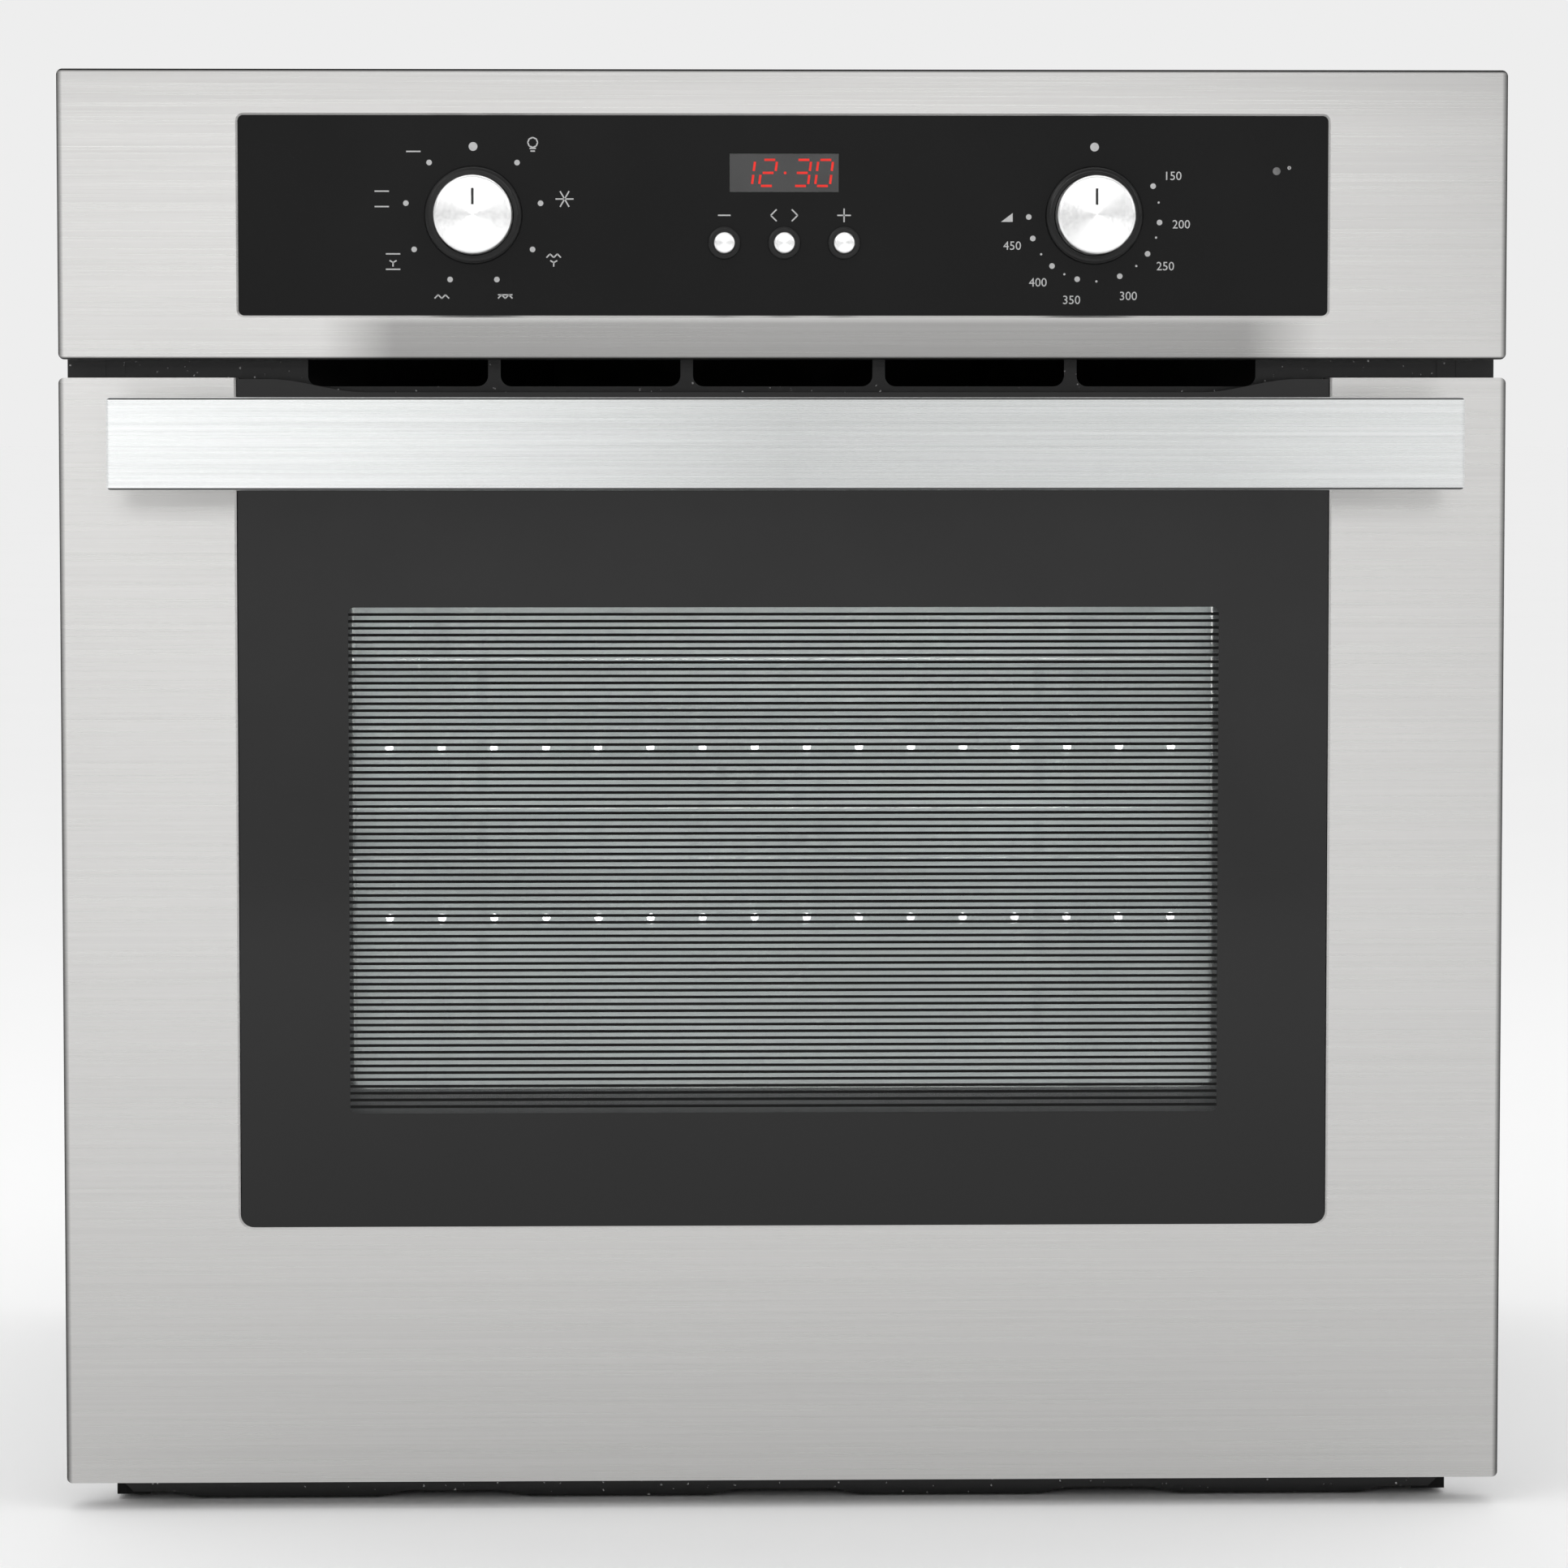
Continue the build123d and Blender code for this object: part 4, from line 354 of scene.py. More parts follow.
def hazed_pane(name, colour, haze, clear, window, blend):
    """A pane whose pale heat-reflecting coat covers only its window, with a faint painted glow.

    The window is (low x, low z), (high x, high z).
    """
    pane = Shader(name, colour, roughness=0.12)
    split = pane.node("ShaderNodeSeparateXYZ")
    pane.link(pane.coordinates(), split.inputs["Vector"])
    (low_x, low_z), (high_x, high_z) = window
    shares = [
        pane.spread(split.outputs["X"], 0.0, 1.0, (low_x - blend, low_x + blend)),
        pane.spread(split.outputs["X"], 0.0, 1.0, (high_x + blend, high_x - blend)),
        pane.spread(split.outputs["Z"], 0.0, 1.0, (low_z - blend, low_z + blend)),
        pane.spread(split.outputs["Z"], 0.0, 1.0, (high_z + blend, high_z - blend)),
    ]
    inside = shares[0]
    for share in shares[1:]:
        inside = multiplied(pane, inside, share)
    pane.drive("Alpha", pane.spread(inside, clear, haze))
    cloud = pane.noise(9, 3.0, (1, 1, 2.5))
    tones = [tuple(c * share for c in colour) for share in (0.9, 1.08)]
    pane.drive("Base Color", pane.between(cloud, *tones))
    # Painted light: the coat glows faintly, though it is no lamp.
    pane.set("Emission Color", (*colour, 1))
    pane.set("Emission Strength", PAINTED_HAZE_GLOW)
    return pane


def polished_black(name, tone, specular, roughness=0.05):
    """Glass printed black behind, or polished black plastic."""
    black = Shader(name)
    smear = black.noise(14, 3.0)
    black.colour = black.between(smear, grey(tone * 0.9), grey(tone * 1.15))
    black.drive("Base Color", black.colour)
    gloss = black.spread(smear, roughness * 0.7, roughness * 1.5, NOISE_REACH)
    black.drive("Roughness", gloss)
    black.set("Specular IOR Level", specular)
    return black


def glow(name, colour, strength):
    """Lit display segments, with a slight unevenness from segment to segment."""
    unlit, faint = [tuple(share * c for c in colour) for share in (0.15, 0.8)]
    lit = Shader(name, unlit, roughness=0.6)
    lit.drive("Emission Color", lit.between(lit.noise(300, 1.0), faint, colour))
    lit.set("Emission Strength", strength)
    return lit


def printed_ink(name, tone):
    """Screen-printed ink: a flat tone with a trace of the screen's texture."""
    dark, light = grey(tone * 0.92), grey(tone * 1.05)
    return mottled(name, dark, light, 600, 0.55, height=0.05, distance=0.0001)


def fibre(name, dark, light):
    """Mineral wool: streaky, matte and rough."""
    wool = Shader(name, roughness=0.95)
    strands = wool.noise(1.0, 6.0, (90, 300, 300), 0.7)
    wool.drive("Base Color", wool.between(strands, dark, light))
    wool.bump(strands, 0.6, 0.002)
    wool.set("Sheen Weight", 0.3)
    return wool


def coated_steel(name, tone):
    """Cavity enamel: pale grey gloss over steel, with a faint green cast."""
    dark = (tone * 0.97, tone, tone * 0.985)
    light = (tone * 1.02, tone * 1.05, tone * 1.035)
    return mottled(name, dark, light, 40, 0.28, height=0.04)


# Painted sheen: tone shares round a turned face, by the angle about its axis.
PAINTED_SHEEN_RAYS = (
    (0.0, 0.95), (0.10, 1.0), (0.24, 0.92), (0.38, 1.0),
    (0.52, 0.95), (0.64, 1.0), (0.80, 0.91), (1.0, 0.95),
)


def spun_metal(name, tone):
    """A turned face: fine rings, with pale painted sheen rays that fan out from the middle."""
    spun = Shader(name, metallic=1.0)
    place = spun.node("ShaderNodeTexCoord")
    centred = spun.node("ShaderNodeMapping")
    centred.inputs["Location"].default_value = (-0.5, 0.5, 0.0)
    centred.inputs["Rotation"].default_value = (-math.pi / 2, 0, 0)
    spun.link(place.outputs["Generated"], centred.inputs["Vector"])
    turn = spun.node("ShaderNodeTexGradient", gradient_type="RADIAL")
    spun.link(centred.outputs["Vector"], turn.inputs["Vector"])
    rays = [(at, grey(tone * share)) for at, share in PAINTED_SHEEN_RAYS]
    spun.drive("Base Color", spun.ramp(turn.outputs["Fac"], rays))
    spun.drive("Roughness", spun.spread(spun.noise(700, 2.0), 0.18, 0.26, NOISE_REACH))
    spun.set("Anisotropic", 0.8)
    tangent_along(spun, "Y")
    spun.set("Anisotropic Rotation", 0.25)
    return spun


STEEL_TONE = 0.66
FASCIA_TONE = 0.64
# Painted shade on the door's steel: darker towards the floor.
DOOR_PAINTED_SHADE = ((0.0, 0.80), (0.06, 0.82), (0.12, 0.88), (0.25, 0.96), (0.47, 0.97))
# Painted reflection of the handle on the fascia's foot, and painted shade towards its top.
FASCIA_PAINTED_REFLECTION = ((0.476, 0.50), (0.491, 0.54), (0.4955, 1.0), (0.595, 1.0))
FASCIA_PAINTED_SHADE = ((0.476, 0.96), (0.50, 0.94), (0.57, 0.88), (0.595, 0.78))
REFLECTION_REACH = (
    (-0.2975, 1.0), (-0.19, 1.0), (-0.16, 0.0), (0.19, 0.0), (0.22, 1.0), (0.2975, 1.0)
)
# Painted highlights on the handle: brighter towards both ends.
HANDLE_PAINTED_HIGHLIGHT = ((-0.275, 1.42), (-0.18, 1.28), (0.0, 0.90), (0.17, 1.0), (0.275, 1.25))


def door_steel():
    """The door's steel, with painted shade towards the floor it mirrors and painted dark rims."""
    steel = brushed_steel("brushed_stainless", STEEL_TONE)
    colour = with_painted_rim_shade(steel, shaded(steel, steel.colour, "Z", DOOR_PAINTED_SHADE), "door_skin", "X")
    steel.drive("Base Color", colour)
    tangent_along(steel, "X")
    return steel


def fascia_steel():
    """The fascia's steel, with a dim painted reflection of the handle along the middle of its foot.
    """
    steel = brushed_steel("brushed_fascia", FASCIA_TONE)
    band = share_along(steel, "Z", FASCIA_PAINTED_REFLECTION)
    outside = share_along(steel, "X", REFLECTION_REACH)
    banded = multiplied(steel, steel.colour, blended(steel, outside, band, grey(1)))
    colour = with_painted_rim_shade(steel, shaded(steel, banded, "Z", FASCIA_PAINTED_SHADE), "control_fascia", "X")
    steel.drive("Base Color", with_painted_rim_shade(steel, colour, "control_fascia", "Z"))
    tangent_along(steel, "X")
    return steel


def bar_steel():
    """The handle's steel: coarser grain, and painted highlights towards both ends."""
    steel = brushed_steel("brushed_handle", 0.60, roughness=0.26, tint=COOL, contrast=0.09)
    colour = shaded(steel, steel.colour, "X", HANDLE_PAINTED_HIGHLIGHT)
    steel.drive("Base Color", with_painted_rim_shade(steel, colour, "handle_bar", "Z"))
    tangent_along(steel, "X")
    return steel


spun_steel = spun_metal("spun_steel", 1.0)
TURNED_NODES = ("mode_knob", "temperature_knob", "minus_button", "set_button", "plus_button")

COATED_WINDOW = ((-177.6 * MM, 175.0 * MM), (177.6 * MM, 386.0 * MM))

SLOT_MATERIALS = {
    "brushed_stainless": door_steel(),
    "satin_steel": brushed_steel("satin_steel", 0.75, grain=(300, 300, 30), anisotropy=0.2),
    "black_enamel": speckled_enamel("black_enamel", grey(0.007), grey(0.65), 0.11),
    "grey_enamel": coated_steel("grey_enamel", 0.48),
    "galvanised_steel": spangled_zinc("galvanised_steel", ZINC_TONE),
    "mineral_wool": fibre("mineral_wool", (0.42, 0.37, 0.20), (0.75, 0.70, 0.46)),
    "silicone": mottled("silicone", grey(0.012), grey(0.03), 120, 0.6, height=0.2),
    "chromed_wire": mottled(
        "chromed_wire", grey(0.52), grey(0.66), 60, 0.26, metallic=1.0, height=0.03
    ),
    "zinc_screw": mottled("zinc_screw", grey(0.50), grey(0.68), 400, 0.35, metallic=1.0),
    "element_sheath": mottled(
        "element_sheath", (0.06, 0.055, 0.05), (0.17, 0.15, 0.14), 90, 0.45, metallic=0.6
    ),
    "motor_steel": mottled("motor_steel", grey(0.20), grey(0.30), 120, 0.45, metallic=0.7),
    "black_plastic": mottled("black_plastic", grey(0.016), grey(0.03), 200, 0.55, height=0.3),
    "gloss_black_plastic": polished_black("gloss_black_plastic", 0.006, 0.3, 0.2),
    "spindle_steel": mottled("spindle_steel", grey(0.42), grey(0.6), 300, 0.35, metallic=1.0),
    "dark_glass": polished_black("dark_glass", 0.006, 0.22),
    "tinted_glass": clear_glass("tinted_glass", grey(0.03), 0.12),
    "clear_glass": clear_glass("clear_glass", (0.75, 0.85, 0.82), 0.06),
    "porcelain": mottled("porcelain", (0.70, 0.68, 0.62), (0.84, 0.82, 0.77), 80, 0.25),
    "circuit_board": mottled("circuit_board", (0.008, 0.10, 0.03), (0.02, 0.18, 0.06), 500, 0.4),
    "lens_plastic": mottled("lens_plastic", grey(0.10), grey(0.16), 200, 0.3),
}

NODE_MATERIALS = {
    "handle_bar": bar_steel(),
    "control_fascia": fascia_steel(),
    # The air duct's steel, given a near-black colour.
    "air_duct": mottled("near_black_steel", grey(0.004), grey(0.008), 60, 0.6),
    "door_frame": mottled("grey_frame", grey(0.15), grey(0.19), 60, 0.4, height=0.05),
    **dict.fromkeys(TURNED_NODES, spun_steel),
    "side_panels": front_shaded_zinc("side_zinc", "side_panels"),
    "base_pan": front_shaded_zinc("base_zinc", "base_pan"),
    "rack_guides": mottled(
        "dull_wire", grey(0.30), grey(0.40), 60, 0.40, metallic=1.0, height=0.03
    ),
    "rear_screws": mottled("dark_screw", grey(0.16), grey(0.24), 400, 0.35, metallic=1.0),
    "display_window": clear_glass("display_pane", grey(0.05), 0.9, 0.2),
    "lamp_lens": clear_glass("lamp_lens", (0.9, 0.9, 0.85), 0.35),
    "middle_glass": hazed_pane(
        "middle_glass", (0.87, 0.93, 0.925), 0.60, 0.06, COATED_WINDOW, 1.2 * MM
    ),
}


def dress_nodes():
    """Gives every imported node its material."""
    for part in frame["record"]["subparts"]:
        name = part["node"]
        chosen = NODE_MATERIALS.get(name, SLOT_MATERIALS[part["material_slot"]])
        mesh = nodes[name].data
        mesh.materials.clear()
        mesh.materials.append(chosen.material)


# ---- Mesh kit -----------------------------------------------------------------------------------


def piece(name, mesh, material, body):
    """A new visible piece from a finished mesh."""
    made = bpy.data.objects.new(name, mesh)
    bpy.context.scene.collection.objects.link(made)
    mesh.materials.clear()
    mesh.materials.append(material)
    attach(made, body)
    return made


def solid_from_outline(sheet, points, near_y, thickness):
    """Adds a closed prism to a bmesh: (x, z) points, from near_y back by thickness."""
    front = [sheet.verts.new((x, near_y, z)) for x, z in points]
    back = [sheet.verts.new((x, near_y + thickness, z)) for x, z in points]
    sheet.faces.new(front)
    sheet.faces.new(back[::-1])
    for i, corner in enumerate(front):
        following = (i + 1) % len(front)
        sheet.faces.new((corner, back[i], back[following], front[following]))


def disc_outline(x, z, radius, sides=28):
    """A round outline, as (x, z) points."""
    angles = [2 * math.pi / sides * i for i in range(sides)]
    return [(x + radius * math.cos(angle), z + radius * math.sin(angle)) for angle in angles]


def bar_outline(start, end, width):
    """The outline of a straight bar between two (x, z) points."""
    ax, az = start
    bx, bz = end
    length = math.hypot(bx - ax, bz - az)
    sx, sz = (az - bz) / length * width / 2, (bx - ax) / length * width / 2
    return [(ax + sx, az + sz), (ax - sx, az - sz), (bx - sx, bz - sz), (bx + sx, bz + sz)]


def finished(sheet, name):
    """Turns a bmesh into a mesh with its normals outward."""
    bmesh.ops.recalc_face_normals(sheet, faces=sheet.faces)
    mesh = bpy.data.meshes.new(name)
    sheet.to_mesh(mesh)
    sheet.free()
    return mesh


def upright_mesh(curve, x, near_y, z, thickness):
    """A mesh from a flat curve stood upright: its origin at x and z, its front at near_y."""
    curve.extrude = thickness / 2
    holder = bpy.data.objects.new(curve.name, curve)
    bpy.context.scene.collection.objects.link(holder)
    graph = bpy.context.evaluated_depsgraph_get()
    mesh = bpy.data.meshes.new_from_object(holder.evaluated_get(graph))
    bpy.data.objects.remove(holder)
    place = Matrix.Translation((x, near_y + thickness / 2, z))
    mesh.transform(place @ Matrix.Rotation(math.pi / 2, 4, "X"))
    return mesh


def plate_mesh(name, outlines, near_y, thickness):
    """A flat plate from (x, z) outlines, where an outline inside another is a hole."""
    curve = bpy.data.curves.new(name, "CURVE")
    curve.dimensions = "2D"
    curve.fill_mode = "BOTH"
    for outline in outlines:
        spline = curve.splines.new("POLY")
        spline.points.add(len(outline) - 1)
        for point, (x, z) in zip(spline.points, outline):
            point.co = (x, z, 0, 1)
        spline.use_cyclic_u = True
    return upright_mesh(curve, 0, near_y, 0, thickness)


def add_numerals(sheet, text, x, z, size, near_y, thickness):
    """Adds a number to a bmesh as thin solid figures, centred on x and z."""
    curve = bpy.data.curves.new("numerals", "FONT")
    curve.body = text
    curve.size = size
    curve.align_x = "CENTER"
    curve.align_y = "CENTER"
    curve.resolution_u = 3
    mesh = upright_mesh(curve, x, near_y, z, thickness)
    sheet.from_mesh(mesh)
    bpy.data.meshes.remove(mesh)


def rounded_outline(low_x, low_z, high_x, high_z, radius, steps=6):
    """A rectangle with round corners, as (x, z) points."""
    corners = [
        (high_x - radius, high_z - radius, 0),
        (low_x + radius, high_z - radius, 1),
        (low_x + radius, low_z + radius, 2),
        (high_x - radius, low_z + radius, 3),
    ]
    points = []
    for centre_x, centre_z, quarter in corners:
        for i in range(steps + 1):
            angle = (quarter + i / steps) * math.pi / 2
            out_x, out_z = radius * math.cos(angle), radius * math.sin(angle)
            points.append((centre_x + out_x, centre_z + out_z))
    return points


# ---- Printed marks on the control glass ---------------------------------------------------------
INK_THICKNESS = 0.08 * MM
INK_Y = GLASS_Y - INK_THICKNESS
MODE_POSITIONS = 9
MODE_DOT_RADIUS = 28.0 * MM
MODE_ICON_RADIUS = 38.0 * MM
ICON_HALF = 3.7 * MM
ICON_STROKE = 0.55 * MM
DOT_RADIUS = 1.15 * MM
OFF_DOT_RADIUS = 1.8 * MM
SMALL_DOT_RADIUS = 0.45 * MM
DIAL_DOT_RADIUS = 27.0 * MM
DIAL_NUMBER_RADIUS = 36.0 * MM
NUMERAL_SIZE = 5.0 * MM
DIAL_ANGLES = {
    "150": 63.5, "200": 96.0, "250": 125.5, "300": 157.0, "350": 195.0, "400": 220.0, "450": 249.6,
}
TOP_MARK_ANGLE = 268.7
WEDGE_HALF = 2.0 * MM
BETWEEN_ANGLES = (78.6, 109.5, 140.0, 178.0, 207.0, 234.0)
SIGN_RISE = 11.3 * MM
MINUS_HALF = 2.6 * MM
PLUS_HALF = 2.8 * MM
CHEVRON_HALF = 2.4 * MM
RING_OFFSET = (5.2 * MM, 1.2 * MM)
RING_HALF = 0.9 * MM

ZIGZAG = [(-0.8, 0.45), (-0.4, 0.85), (0.0, 0.45), (0.4, 0.85), (0.8, 0.45)]
TOP_BAR = [(-0.8, 0.85), (0.8, 0.85)]
BOTTOM_BAR = [(-0.8, -0.85), (0.8, -0.85)]
FAN_BLADES = [
    [(0.0, -0.1), (0.45 * math.cos(a), -0.1 + 0.45 * math.sin(a))] for a in (0.5, 2.6, 4.7)
]
FLAKE = [[(-math.cos(a), -math.sin(a)), (math.cos(a), math.sin(a))] for a in (0.0, 1.047, 2.094)]
LAMP = [[(-0.35, -0.5), (0.35, -0.5)], [(-0.25, -0.8), (0.25, -0.8)]]
BULB = [(0.55 * math.cos(a * 0.7854), 0.15 + 0.55 * math.sin(a * 0.7854)) for a in range(9)]
MODE_ICONS = (
    [*LAMP, BULB],
    FLAKE,
    [ZIGZAG, *FAN_BLADES],
    [TOP_BAR, ZIGZAG],
    [ZIGZAG],
    [TOP_BAR, BOTTOM_BAR, *FAN_BLADES],
    [TOP_BAR, BOTTOM_BAR],
    [BOTTOM_BAR],
)


def middle(node):
    """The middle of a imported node's box."""
    low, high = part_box(node)
    return (low + high) / 2


def on_dial(centre, angle, radius):
    """The (x, z) point at a clockwise angle from the top of a dial, in degrees."""
    turn = math.radians(angle)
    return (centre.x + radius * math.sin(turn), centre.z + radius * math.cos(turn))


def add_dot(sheet, at, radius):
    solid_from_outline(sheet, disc_outline(*at, radius), INK_Y, INK_THICKNESS)


def add_stroke(sheet, line, at, half):
    """Draws a line of points, given in units of the icon's half size, as joined bars."""
    points = [(at[0] + half * x, at[1] + half * z) for x, z in line]
    for start, end in zip(points, points[1:]):
        solid_from_outline(sheet, bar_outline(start, end, ICON_STROKE), INK_Y, INK_THICKNESS)


def add_control_marks(ink):
    """Marks round the knobs, signs above the buttons and a small ring beside the lens."""
    sheet = bmesh.new()
    mode = middle("mode_knob")
    add_dot(sheet, on_dial(mode, 0, MODE_DOT_RADIUS), OFF_DOT_RADIUS)
    for i, icon in enumerate(MODE_ICONS, start=1):
        angle = 360 / MODE_POSITIONS * i
        add_dot(sheet, on_dial(mode, angle, MODE_DOT_RADIUS), DOT_RADIUS)
        for line in icon:
            add_stroke(sheet, line, on_dial(mode, angle, MODE_ICON_RADIUS), ICON_HALF)
    dial = middle("temperature_knob")
    add_dot(sheet, on_dial(dial, 0, MODE_DOT_RADIUS), OFF_DOT_RADIUS)
    for number, angle in DIAL_ANGLES.items():
        add_dot(sheet, on_dial(dial, angle, DIAL_DOT_RADIUS), DOT_RADIUS)
        x, z = on_dial(dial, angle, DIAL_NUMBER_RADIUS)
        add_numerals(sheet, number, x, z, NUMERAL_SIZE, INK_Y, INK_THICKNESS)
    add_dot(sheet, on_dial(dial, TOP_MARK_ANGLE, DIAL_DOT_RADIUS), DOT_RADIUS)
    wedge_x, wedge_z = on_dial(dial, TOP_MARK_ANGLE, DIAL_NUMBER_RADIUS)
    wedge = [(-1.2, -0.9), (1.2, -0.9), (1.2, 0.9)]
    outline = [(wedge_x + WEDGE_HALF * x, wedge_z + WEDGE_HALF * z) for x, z in wedge]
    solid_from_outline(sheet, outline, INK_Y, INK_THICKNESS)
    for angle in BETWEEN_ANGLES:
        add_dot(sheet, on_dial(dial, angle, DIAL_DOT_RADIUS), SMALL_DOT_RADIUS)
    sign_z = middle("set_button").z + SIGN_RISE
    minus, setting, plus = [middle(f"{name}_button").x for name in ("minus", "set", "plus")]
    add_stroke(sheet, [(-1, 0), (1, 0)], (minus, sign_z), MINUS_HALF)
    add_stroke(sheet, [(-1, 0), (1, 0)], (plus, sign_z), PLUS_HALF)
    add_stroke(sheet, [(0, -1), (0, 1)], (plus, sign_z), PLUS_HALF)
    for side in (-1, 1):
        chevron = [(side * 1.3, 1.0), (side * 2.3, 0.0), (side * 1.3, -1.0)]
        add_stroke(sheet, chevron, (setting, sign_z), CHEVRON_HALF)
    lens = middle("indicator_lens")
    add_stroke(sheet, BULB, (lens.x + RING_OFFSET[0], lens.z + RING_OFFSET[1]), RING_HALF)
    marks = finished(sheet, "control_marks")
    piece("control_marks", marks, ink.material, "chassis")


# ---- Display: four slanted seven-segment figures ------------------------------------------------
DIGIT_HEIGHT = 11.6 * MM
DIGIT_WIDTH = 7.0 * MM
DIGIT_SLANT = 0.13
SEGMENT_WIDTH = 0.95 * MM
DIGIT_OFFSETS = (-15.6 * MM, -6.6 * MM, 7.4 * MM, 16.4 * MM)
SEGMENTS = {
    "a": ((-1, 1), (1, 1)), "b": ((1, 1), (1, 0)), "c": ((1, 0), (1, -1)), "d": ((-1, -1), (1, -1)),
    "e": ((-1, 0), (-1, -1)), "f": ((-1, 1), (-1, 0)), "g": ((-1, 0), (1, 0)),
}
FIGURES = ("bc", "abged", "abgcd", "abcdef")
SEGMENT_SHRINK = 0.8 * MM
POINT_OFFSET = 0.4 * MM
POINT_SHARE = 0.6
DISPLAY_RED = (0.80, 0.015, 0.006)


def add_display(red):
    """The lit figures of the timer, on the front of the display pane."""
    sheet = bmesh.new()
    centre = middle("display_window")
    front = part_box("display_window")[0].y - INK_THICKNESS
    for offset, figure in zip(DIGIT_OFFSETS, FIGURES):
        for key in figure:
            corners = []
            for x, z in SEGMENTS[key]:
                corner_z = z * (DIGIT_HEIGHT - SEGMENT_WIDTH) / 2
                corner_x = offset + x * (DIGIT_WIDTH - SEGMENT_WIDTH) / 2 + DIGIT_SLANT * corner_z
                corners.append(Vector((centre.x + corner_x, 0, centre.z + corner_z)))
            along = (corners[1] - corners[0]).normalized() * SEGMENT_SHRINK
            start, end = corners[0] + along, corners[1] - along
            outline = bar_outline((start.x, start.z), (end.x, end.z), SEGMENT_WIDTH)
            solid_from_outline(sheet, outline, front, INK_THICKNESS)
    point = disc_outline(centre.x + POINT_OFFSET, centre.z, POINT_SHARE * SEGMENT_WIDTH)
    solid_from_outline(sheet, point, front, INK_THICKNESS)
    digits = finished(sheet, "display_digits")
    piece("display_digits", digits, red.material, "chassis")


# ---- Knob pointers ------------------------------------------------------------------------------
POINTER_INNER = 4.0 * MM
POINTER_OUTER = 10.7 * MM
POINTER_WIDTH = 1.1 * MM


def add_pointer(knob, ink):
    """The short black line on a knob's face."""
    sheet = bmesh.new()
    centre = middle(knob)
    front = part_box(knob)[0].y - INK_THICKNESS
    inner, outer = [(centre.x, centre.z + out) for out in (POINTER_INNER, POINTER_OUTER)]
    outline = bar_outline(inner, outer, POINTER_WIDTH)
    solid_from_outline(sheet, outline, front, INK_THICKNESS)
    piece(f"{knob}_pointer", finished(sheet, knob), ink.material, knob)


# ---- Door print: black with a striped window ----------------------------------------------------
WINDOW_HALF = 179.5 * MM
WINDOW_LOW = 165.2 * MM
WINDOW_HIGH = 374.6 * MM
STRIPES = 74
STRIPE_DARK_SHARE = 0.42
PRINT_LOW = 112.0 * MM
PRINT_HALF = 224.6 * MM
PRINT_HIGH = 468.4 * MM
PRINT_DIP = 463.0 * MM
DIP_START = 211.0 * MM
DIP_END = 172.0 * MM
PRINT_THICKNESS = 0.1 * MM
SLOPE_STEPS = 12
WINDOW_CORNER = 2.2 * MM
# Painted shade and painted reflection on the door's black glass: darker below, brighter above.
DOOR_BLACK_PAINTED_LIGHT = ((0.11, 0.1), (0.47, 1.3))


def add_door_print(black):
    """The polished black face of the outer glass, with its window left clear between fine lines."""
    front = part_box("outer_glass")[0].y - 2 * PRINT_THICKNESS
    slope = []
    for i in range(SLOPE_STEPS + 1):
        share = i / SLOPE_STEPS
        ease = share * share * (3 - 2 * share)
        x = -DIP_START + share * (DIP_START - DIP_END)
        slope.append((x, PRINT_HIGH + ease * (PRINT_DIP - PRINT_HIGH)))
    edge = [(-PRINT_HALF, PRINT_LOW), (-PRINT_HALF, PRINT_HIGH), *slope]
    edge += [(-x, z) for x, z in reversed(edge)]
    window = rounded_outline(-WINDOW_HALF, WINDOW_LOW, WINDOW_HALF, WINDOW_HIGH, WINDOW_CORNER)
    panel = plate_mesh("door_print", [edge, window], front, PRINT_THICKNESS)
    piece("door_print", panel, black.material, "door")
    sheet = bmesh.new()
    pitch = (WINDOW_HIGH - WINDOW_LOW) / STRIPES
    for i in range(1, STRIPES):
        z = WINDOW_LOW + i * pitch
        line = bar_outline((-WINDOW_HALF, z), (WINDOW_HALF, z), STRIPE_DARK_SHARE * pitch)
        solid_from_outline(sheet, line, front, PRINT_THICKNESS)
    ink = polished_black("window_print", 0.003, 0.12)
    lines = finished(sheet, "window_lines")
    piece("window_lines", lines, ink.material, "door")


# ---- Racks: rounded ends on the long wires ------------------------------------------------------
TIP_RADIUS = 1.75 * MM
TIP_LENGTH = 1.4 * MM
PAINTED_TIP_GLINT = 14.0
WIRES = 18
WIRE_RADIUS = 1.6 * MM
WIRE_PITCH = 22.0 * MM


def add_wire_tips():
    """A polished dome on the front end of each long rack wire, glowing white as a painted glint."""
    glint_paint = mottled("painted_glint_tips", grey(0.9), grey(0.98), 200, 0.2, metallic=0.3, height=0.02)
    # Painted glint: the tips glow white, though they are no lamp.
    glint_paint.set("Emission Color", (1, 1, 1, 1))
    glint_paint.set("Emission Strength", PAINTED_TIP_GLINT)
    for rack in ("lower_rack", "upper_rack"):
        low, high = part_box(rack)
        sheet = bmesh.new()
        for index in range(WIRES):
            x = (index - (WIRES - 1) / 2) * WIRE_PITCH
            place = Matrix.Translation((x, low.y, high.z - WIRE_RADIUS))
            squash = Matrix.Diagonal((TIP_RADIUS, TIP_LENGTH, TIP_RADIUS, 1))
            bmesh.ops.create_icosphere(sheet, subdivisions=2, radius=1.0, matrix=place @ squash)
        for face in sheet.faces:
            face.smooth = True
        tips = finished(sheet, f"{rack}_tips")
        piece(f"{rack}_tips", tips, glint_paint.material, rack)


# ---- Studio -------------------------------------------------------------------------------------
FLOOR_HALF = 40.0
BACKGROUND = 0.855
FRONT_LEFT = 0.71
FRONT_RIGHT = 0.63
ZENITH_BOOST = 0.2
FLOOR_TONE = 0.97


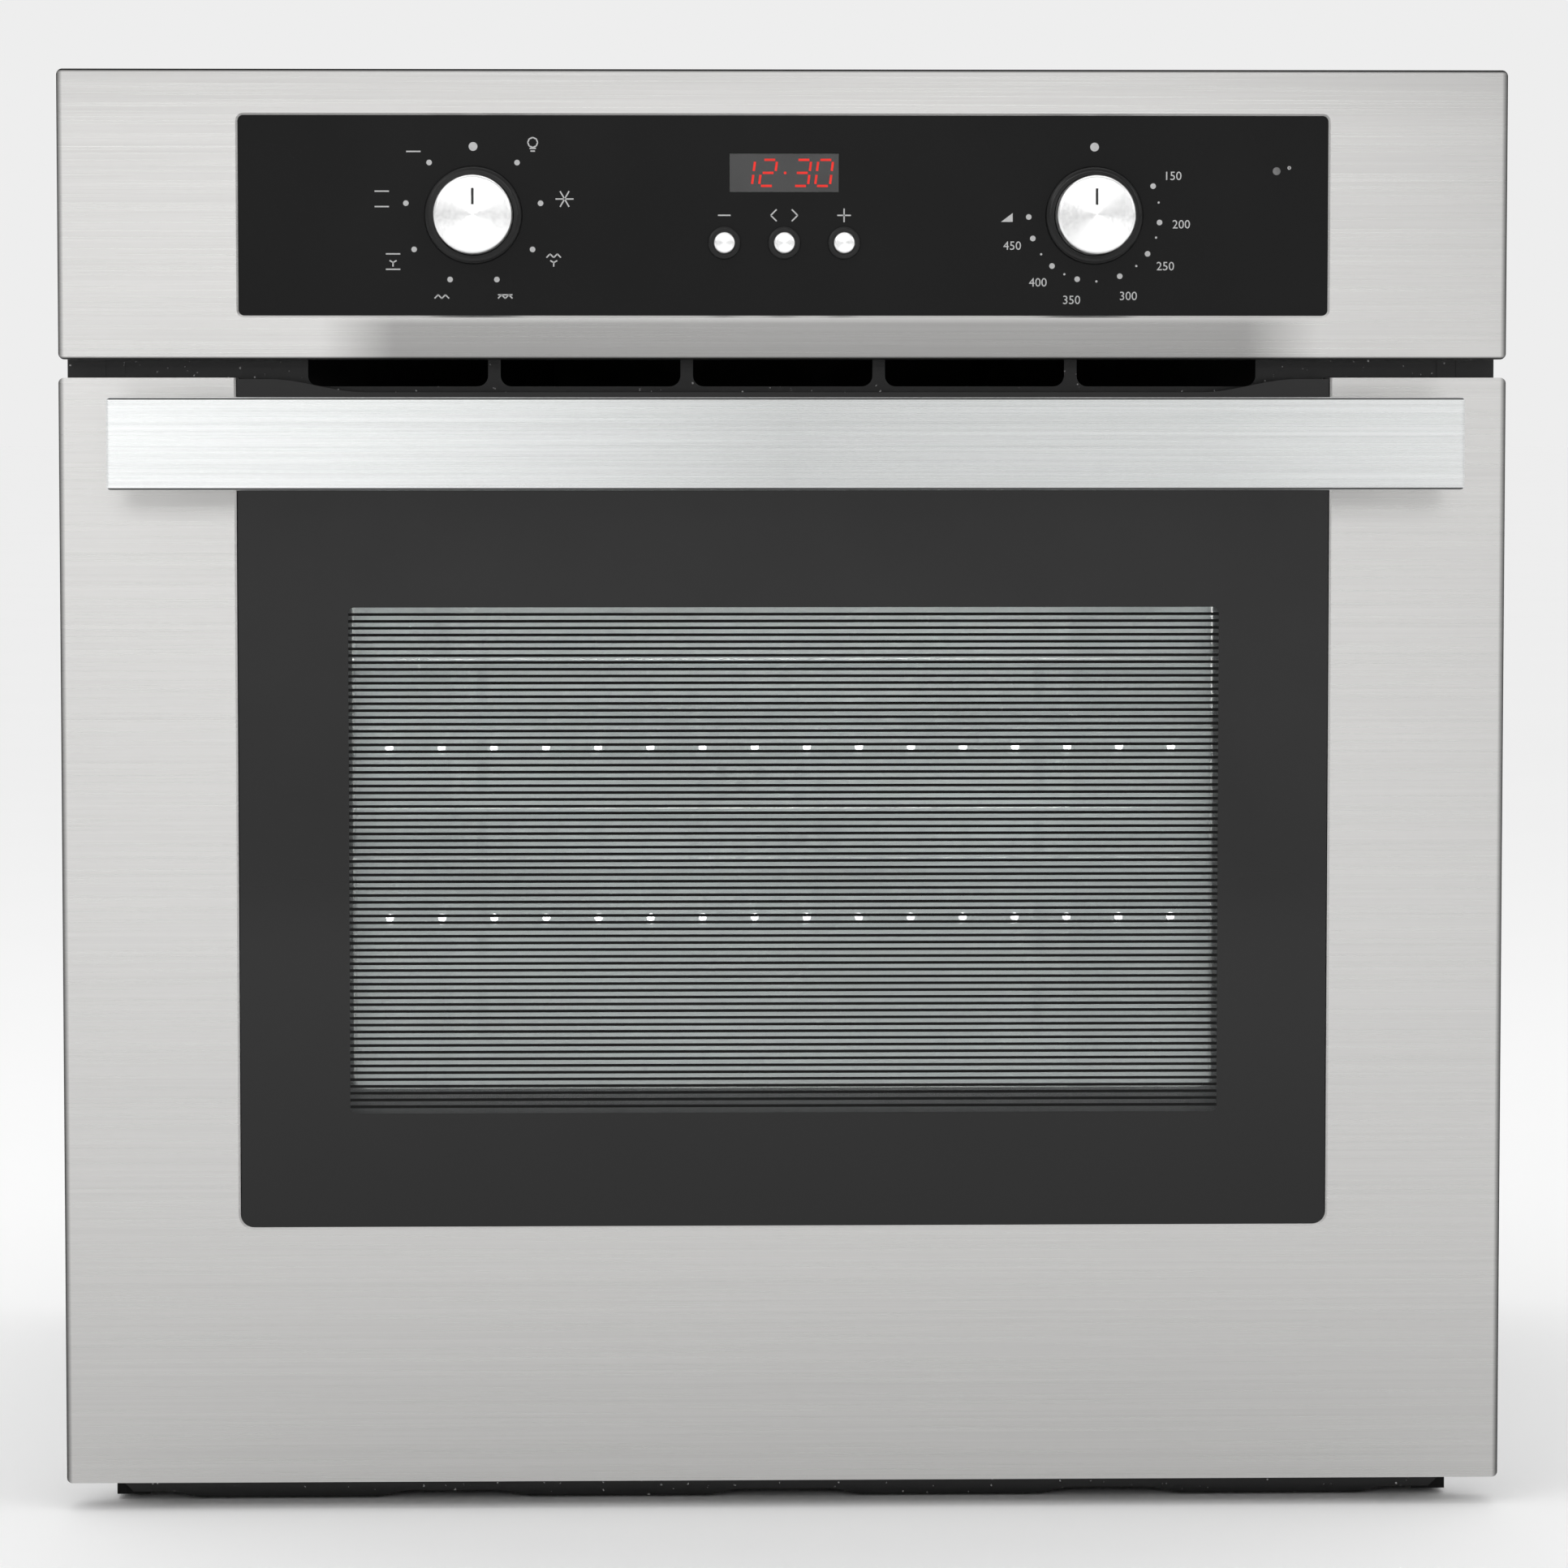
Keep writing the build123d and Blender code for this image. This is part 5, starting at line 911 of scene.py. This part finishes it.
# Each light's place, the point it faces, its two sides in metres and its power in watts
STUDIO_LIGHTS = {
    "key": ((-1.7, -2.4, 2.0), (0, -0.2, 0.35), (1.4, 1.4), 9),
    "fill": ((1.9, -2.0, 1.3), (0, -0.2, 0.3), (1.2, 1.2), 4),
    "top": ((0, 0.2, 2.4), (0, 0, 0), (2.2, 2.2), 8),
    "softbox": ((-0.12, -3.2, 1.05), (0, 0, 0.45), (1.7, 0.5), 6),
}


def add_world():
    """An even pale surround that is greyer in front and brighter above."""
    world = bpy.data.worlds.new("studio")
    world.use_nodes = True
    tree = world.node_tree
    place = tree.nodes.new("ShaderNodeTexCoord")
    split = tree.nodes.new("ShaderNodeSeparateXYZ")
    tree.links.new(place.outputs["Generated"], split.inputs["Vector"])
    front = map_range(tree, split.outputs["X"], (-0.3, 0.3), (FRONT_LEFT, FRONT_RIGHT))
    behind = map_range(tree, split.outputs["Y"], (-0.4, 0.4), (0.0, 1.0))
    blend = tree.nodes.new("ShaderNodeMix")
    blend.inputs["B"].default_value = BACKGROUND
    tree.links.new(behind, blend.inputs["Factor"])
    tree.links.new(front, blend.inputs["A"])
    above = map_range(tree, split.outputs["Z"], (0.3, 1.0), (0.0, ZENITH_BOOST))
    total = tree.nodes.new("ShaderNodeMath")
    tree.links.new(blend.outputs["Result"], total.inputs[0])
    tree.links.new(above, total.inputs[1])
    tree.links.new(total.outputs["Value"], tree.nodes["Background"].inputs["Color"])
    bpy.context.scene.world = world


def add_floor():
    """A plain pale floor at the foot of the oven."""
    sheet = bmesh.new()
    corners = [(-1, -1), (1, -1), (1, 1), (-1, 1)]
    sheet.faces.new([sheet.verts.new((FLOOR_HALF * x, FLOOR_HALF * y, 0)) for x, y in corners])
    mesh = bpy.data.meshes.new("floor")
    sheet.to_mesh(mesh)
    sheet.free()
    floor = bpy.data.objects.new("floor", mesh)
    bpy.context.scene.collection.objects.link(floor)
    paint = Shader("floor_paint", roughness=0.9)
    paint.set("Specular IOR Level", 0.1)
    tones = [(0.0, grey(FLOOR_TONE)), (1.0, grey(FLOOR_TONE * 1.02))]
    paint.drive("Base Color", paint.ramp(paint.noise(3, 2.0), tones))
    mesh.materials.append(paint.material)


def add_studio():
    """The surround, the floor, plain colours on the film and four soft lights."""
    add_world()
    add_floor()
    bpy.context.scene.view_settings.view_transform = "Standard"
    for name, (place, target, size, power) in STUDIO_LIGHTS.items():
        add_area(name, place, target, size, power)


CAVITY_LIGHT_POWER = 2.6
CAVITY_LIGHT_SIZE = (0.40, 0.03)
CAVITY_LIGHT_COLOUR = (1.0, 1.0, 0.97)
CAVITY_LIGHT_SETBACK = 20.0 * MM
CAVITY_LIGHT_DROP = 12.0 * MM
CAVITY_AIM_DROP = 50.0 * MM


def add_cavity_light():
    """The oven lamp's glow, as a strip under the front of the cavity's roof."""
    low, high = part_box("cavity_liner")
    centre = (low + high) / 2
    place = (centre.x, low.y + CAVITY_LIGHT_SETBACK, high.z - CAVITY_LIGHT_DROP)
    target = (centre.x, high.y, centre.z - CAVITY_AIM_DROP)
    colour = CAVITY_LIGHT_COLOUR
    add_area("oven_lamp", place, target, CAVITY_LIGHT_SIZE, CAVITY_LIGHT_POWER, colour)


ink = printed_ink("dial_ink", 0.5)
add_camera()
add_studio()
add_cavity_light()
dress_nodes()
add_control_marks(ink)
add_display(glow("display_red", DISPLAY_RED, 1.0))
pointer_ink = printed_ink("pointer_ink", 0.02)
for knob in ("mode_knob", "temperature_knob"):
    add_pointer(knob, pointer_ink)
door_black = polished_black("door_glass_black", 0.016, 0.36)
# Painted shade towards the bottom of the door's black glass, painted reflection towards its top.
painted_light_black = shaded(door_black, door_black.colour, "Z", DOOR_BLACK_PAINTED_LIGHT)
door_black.drive("Base Color", painted_light_black)
add_door_print(door_black)
add_wire_tips()
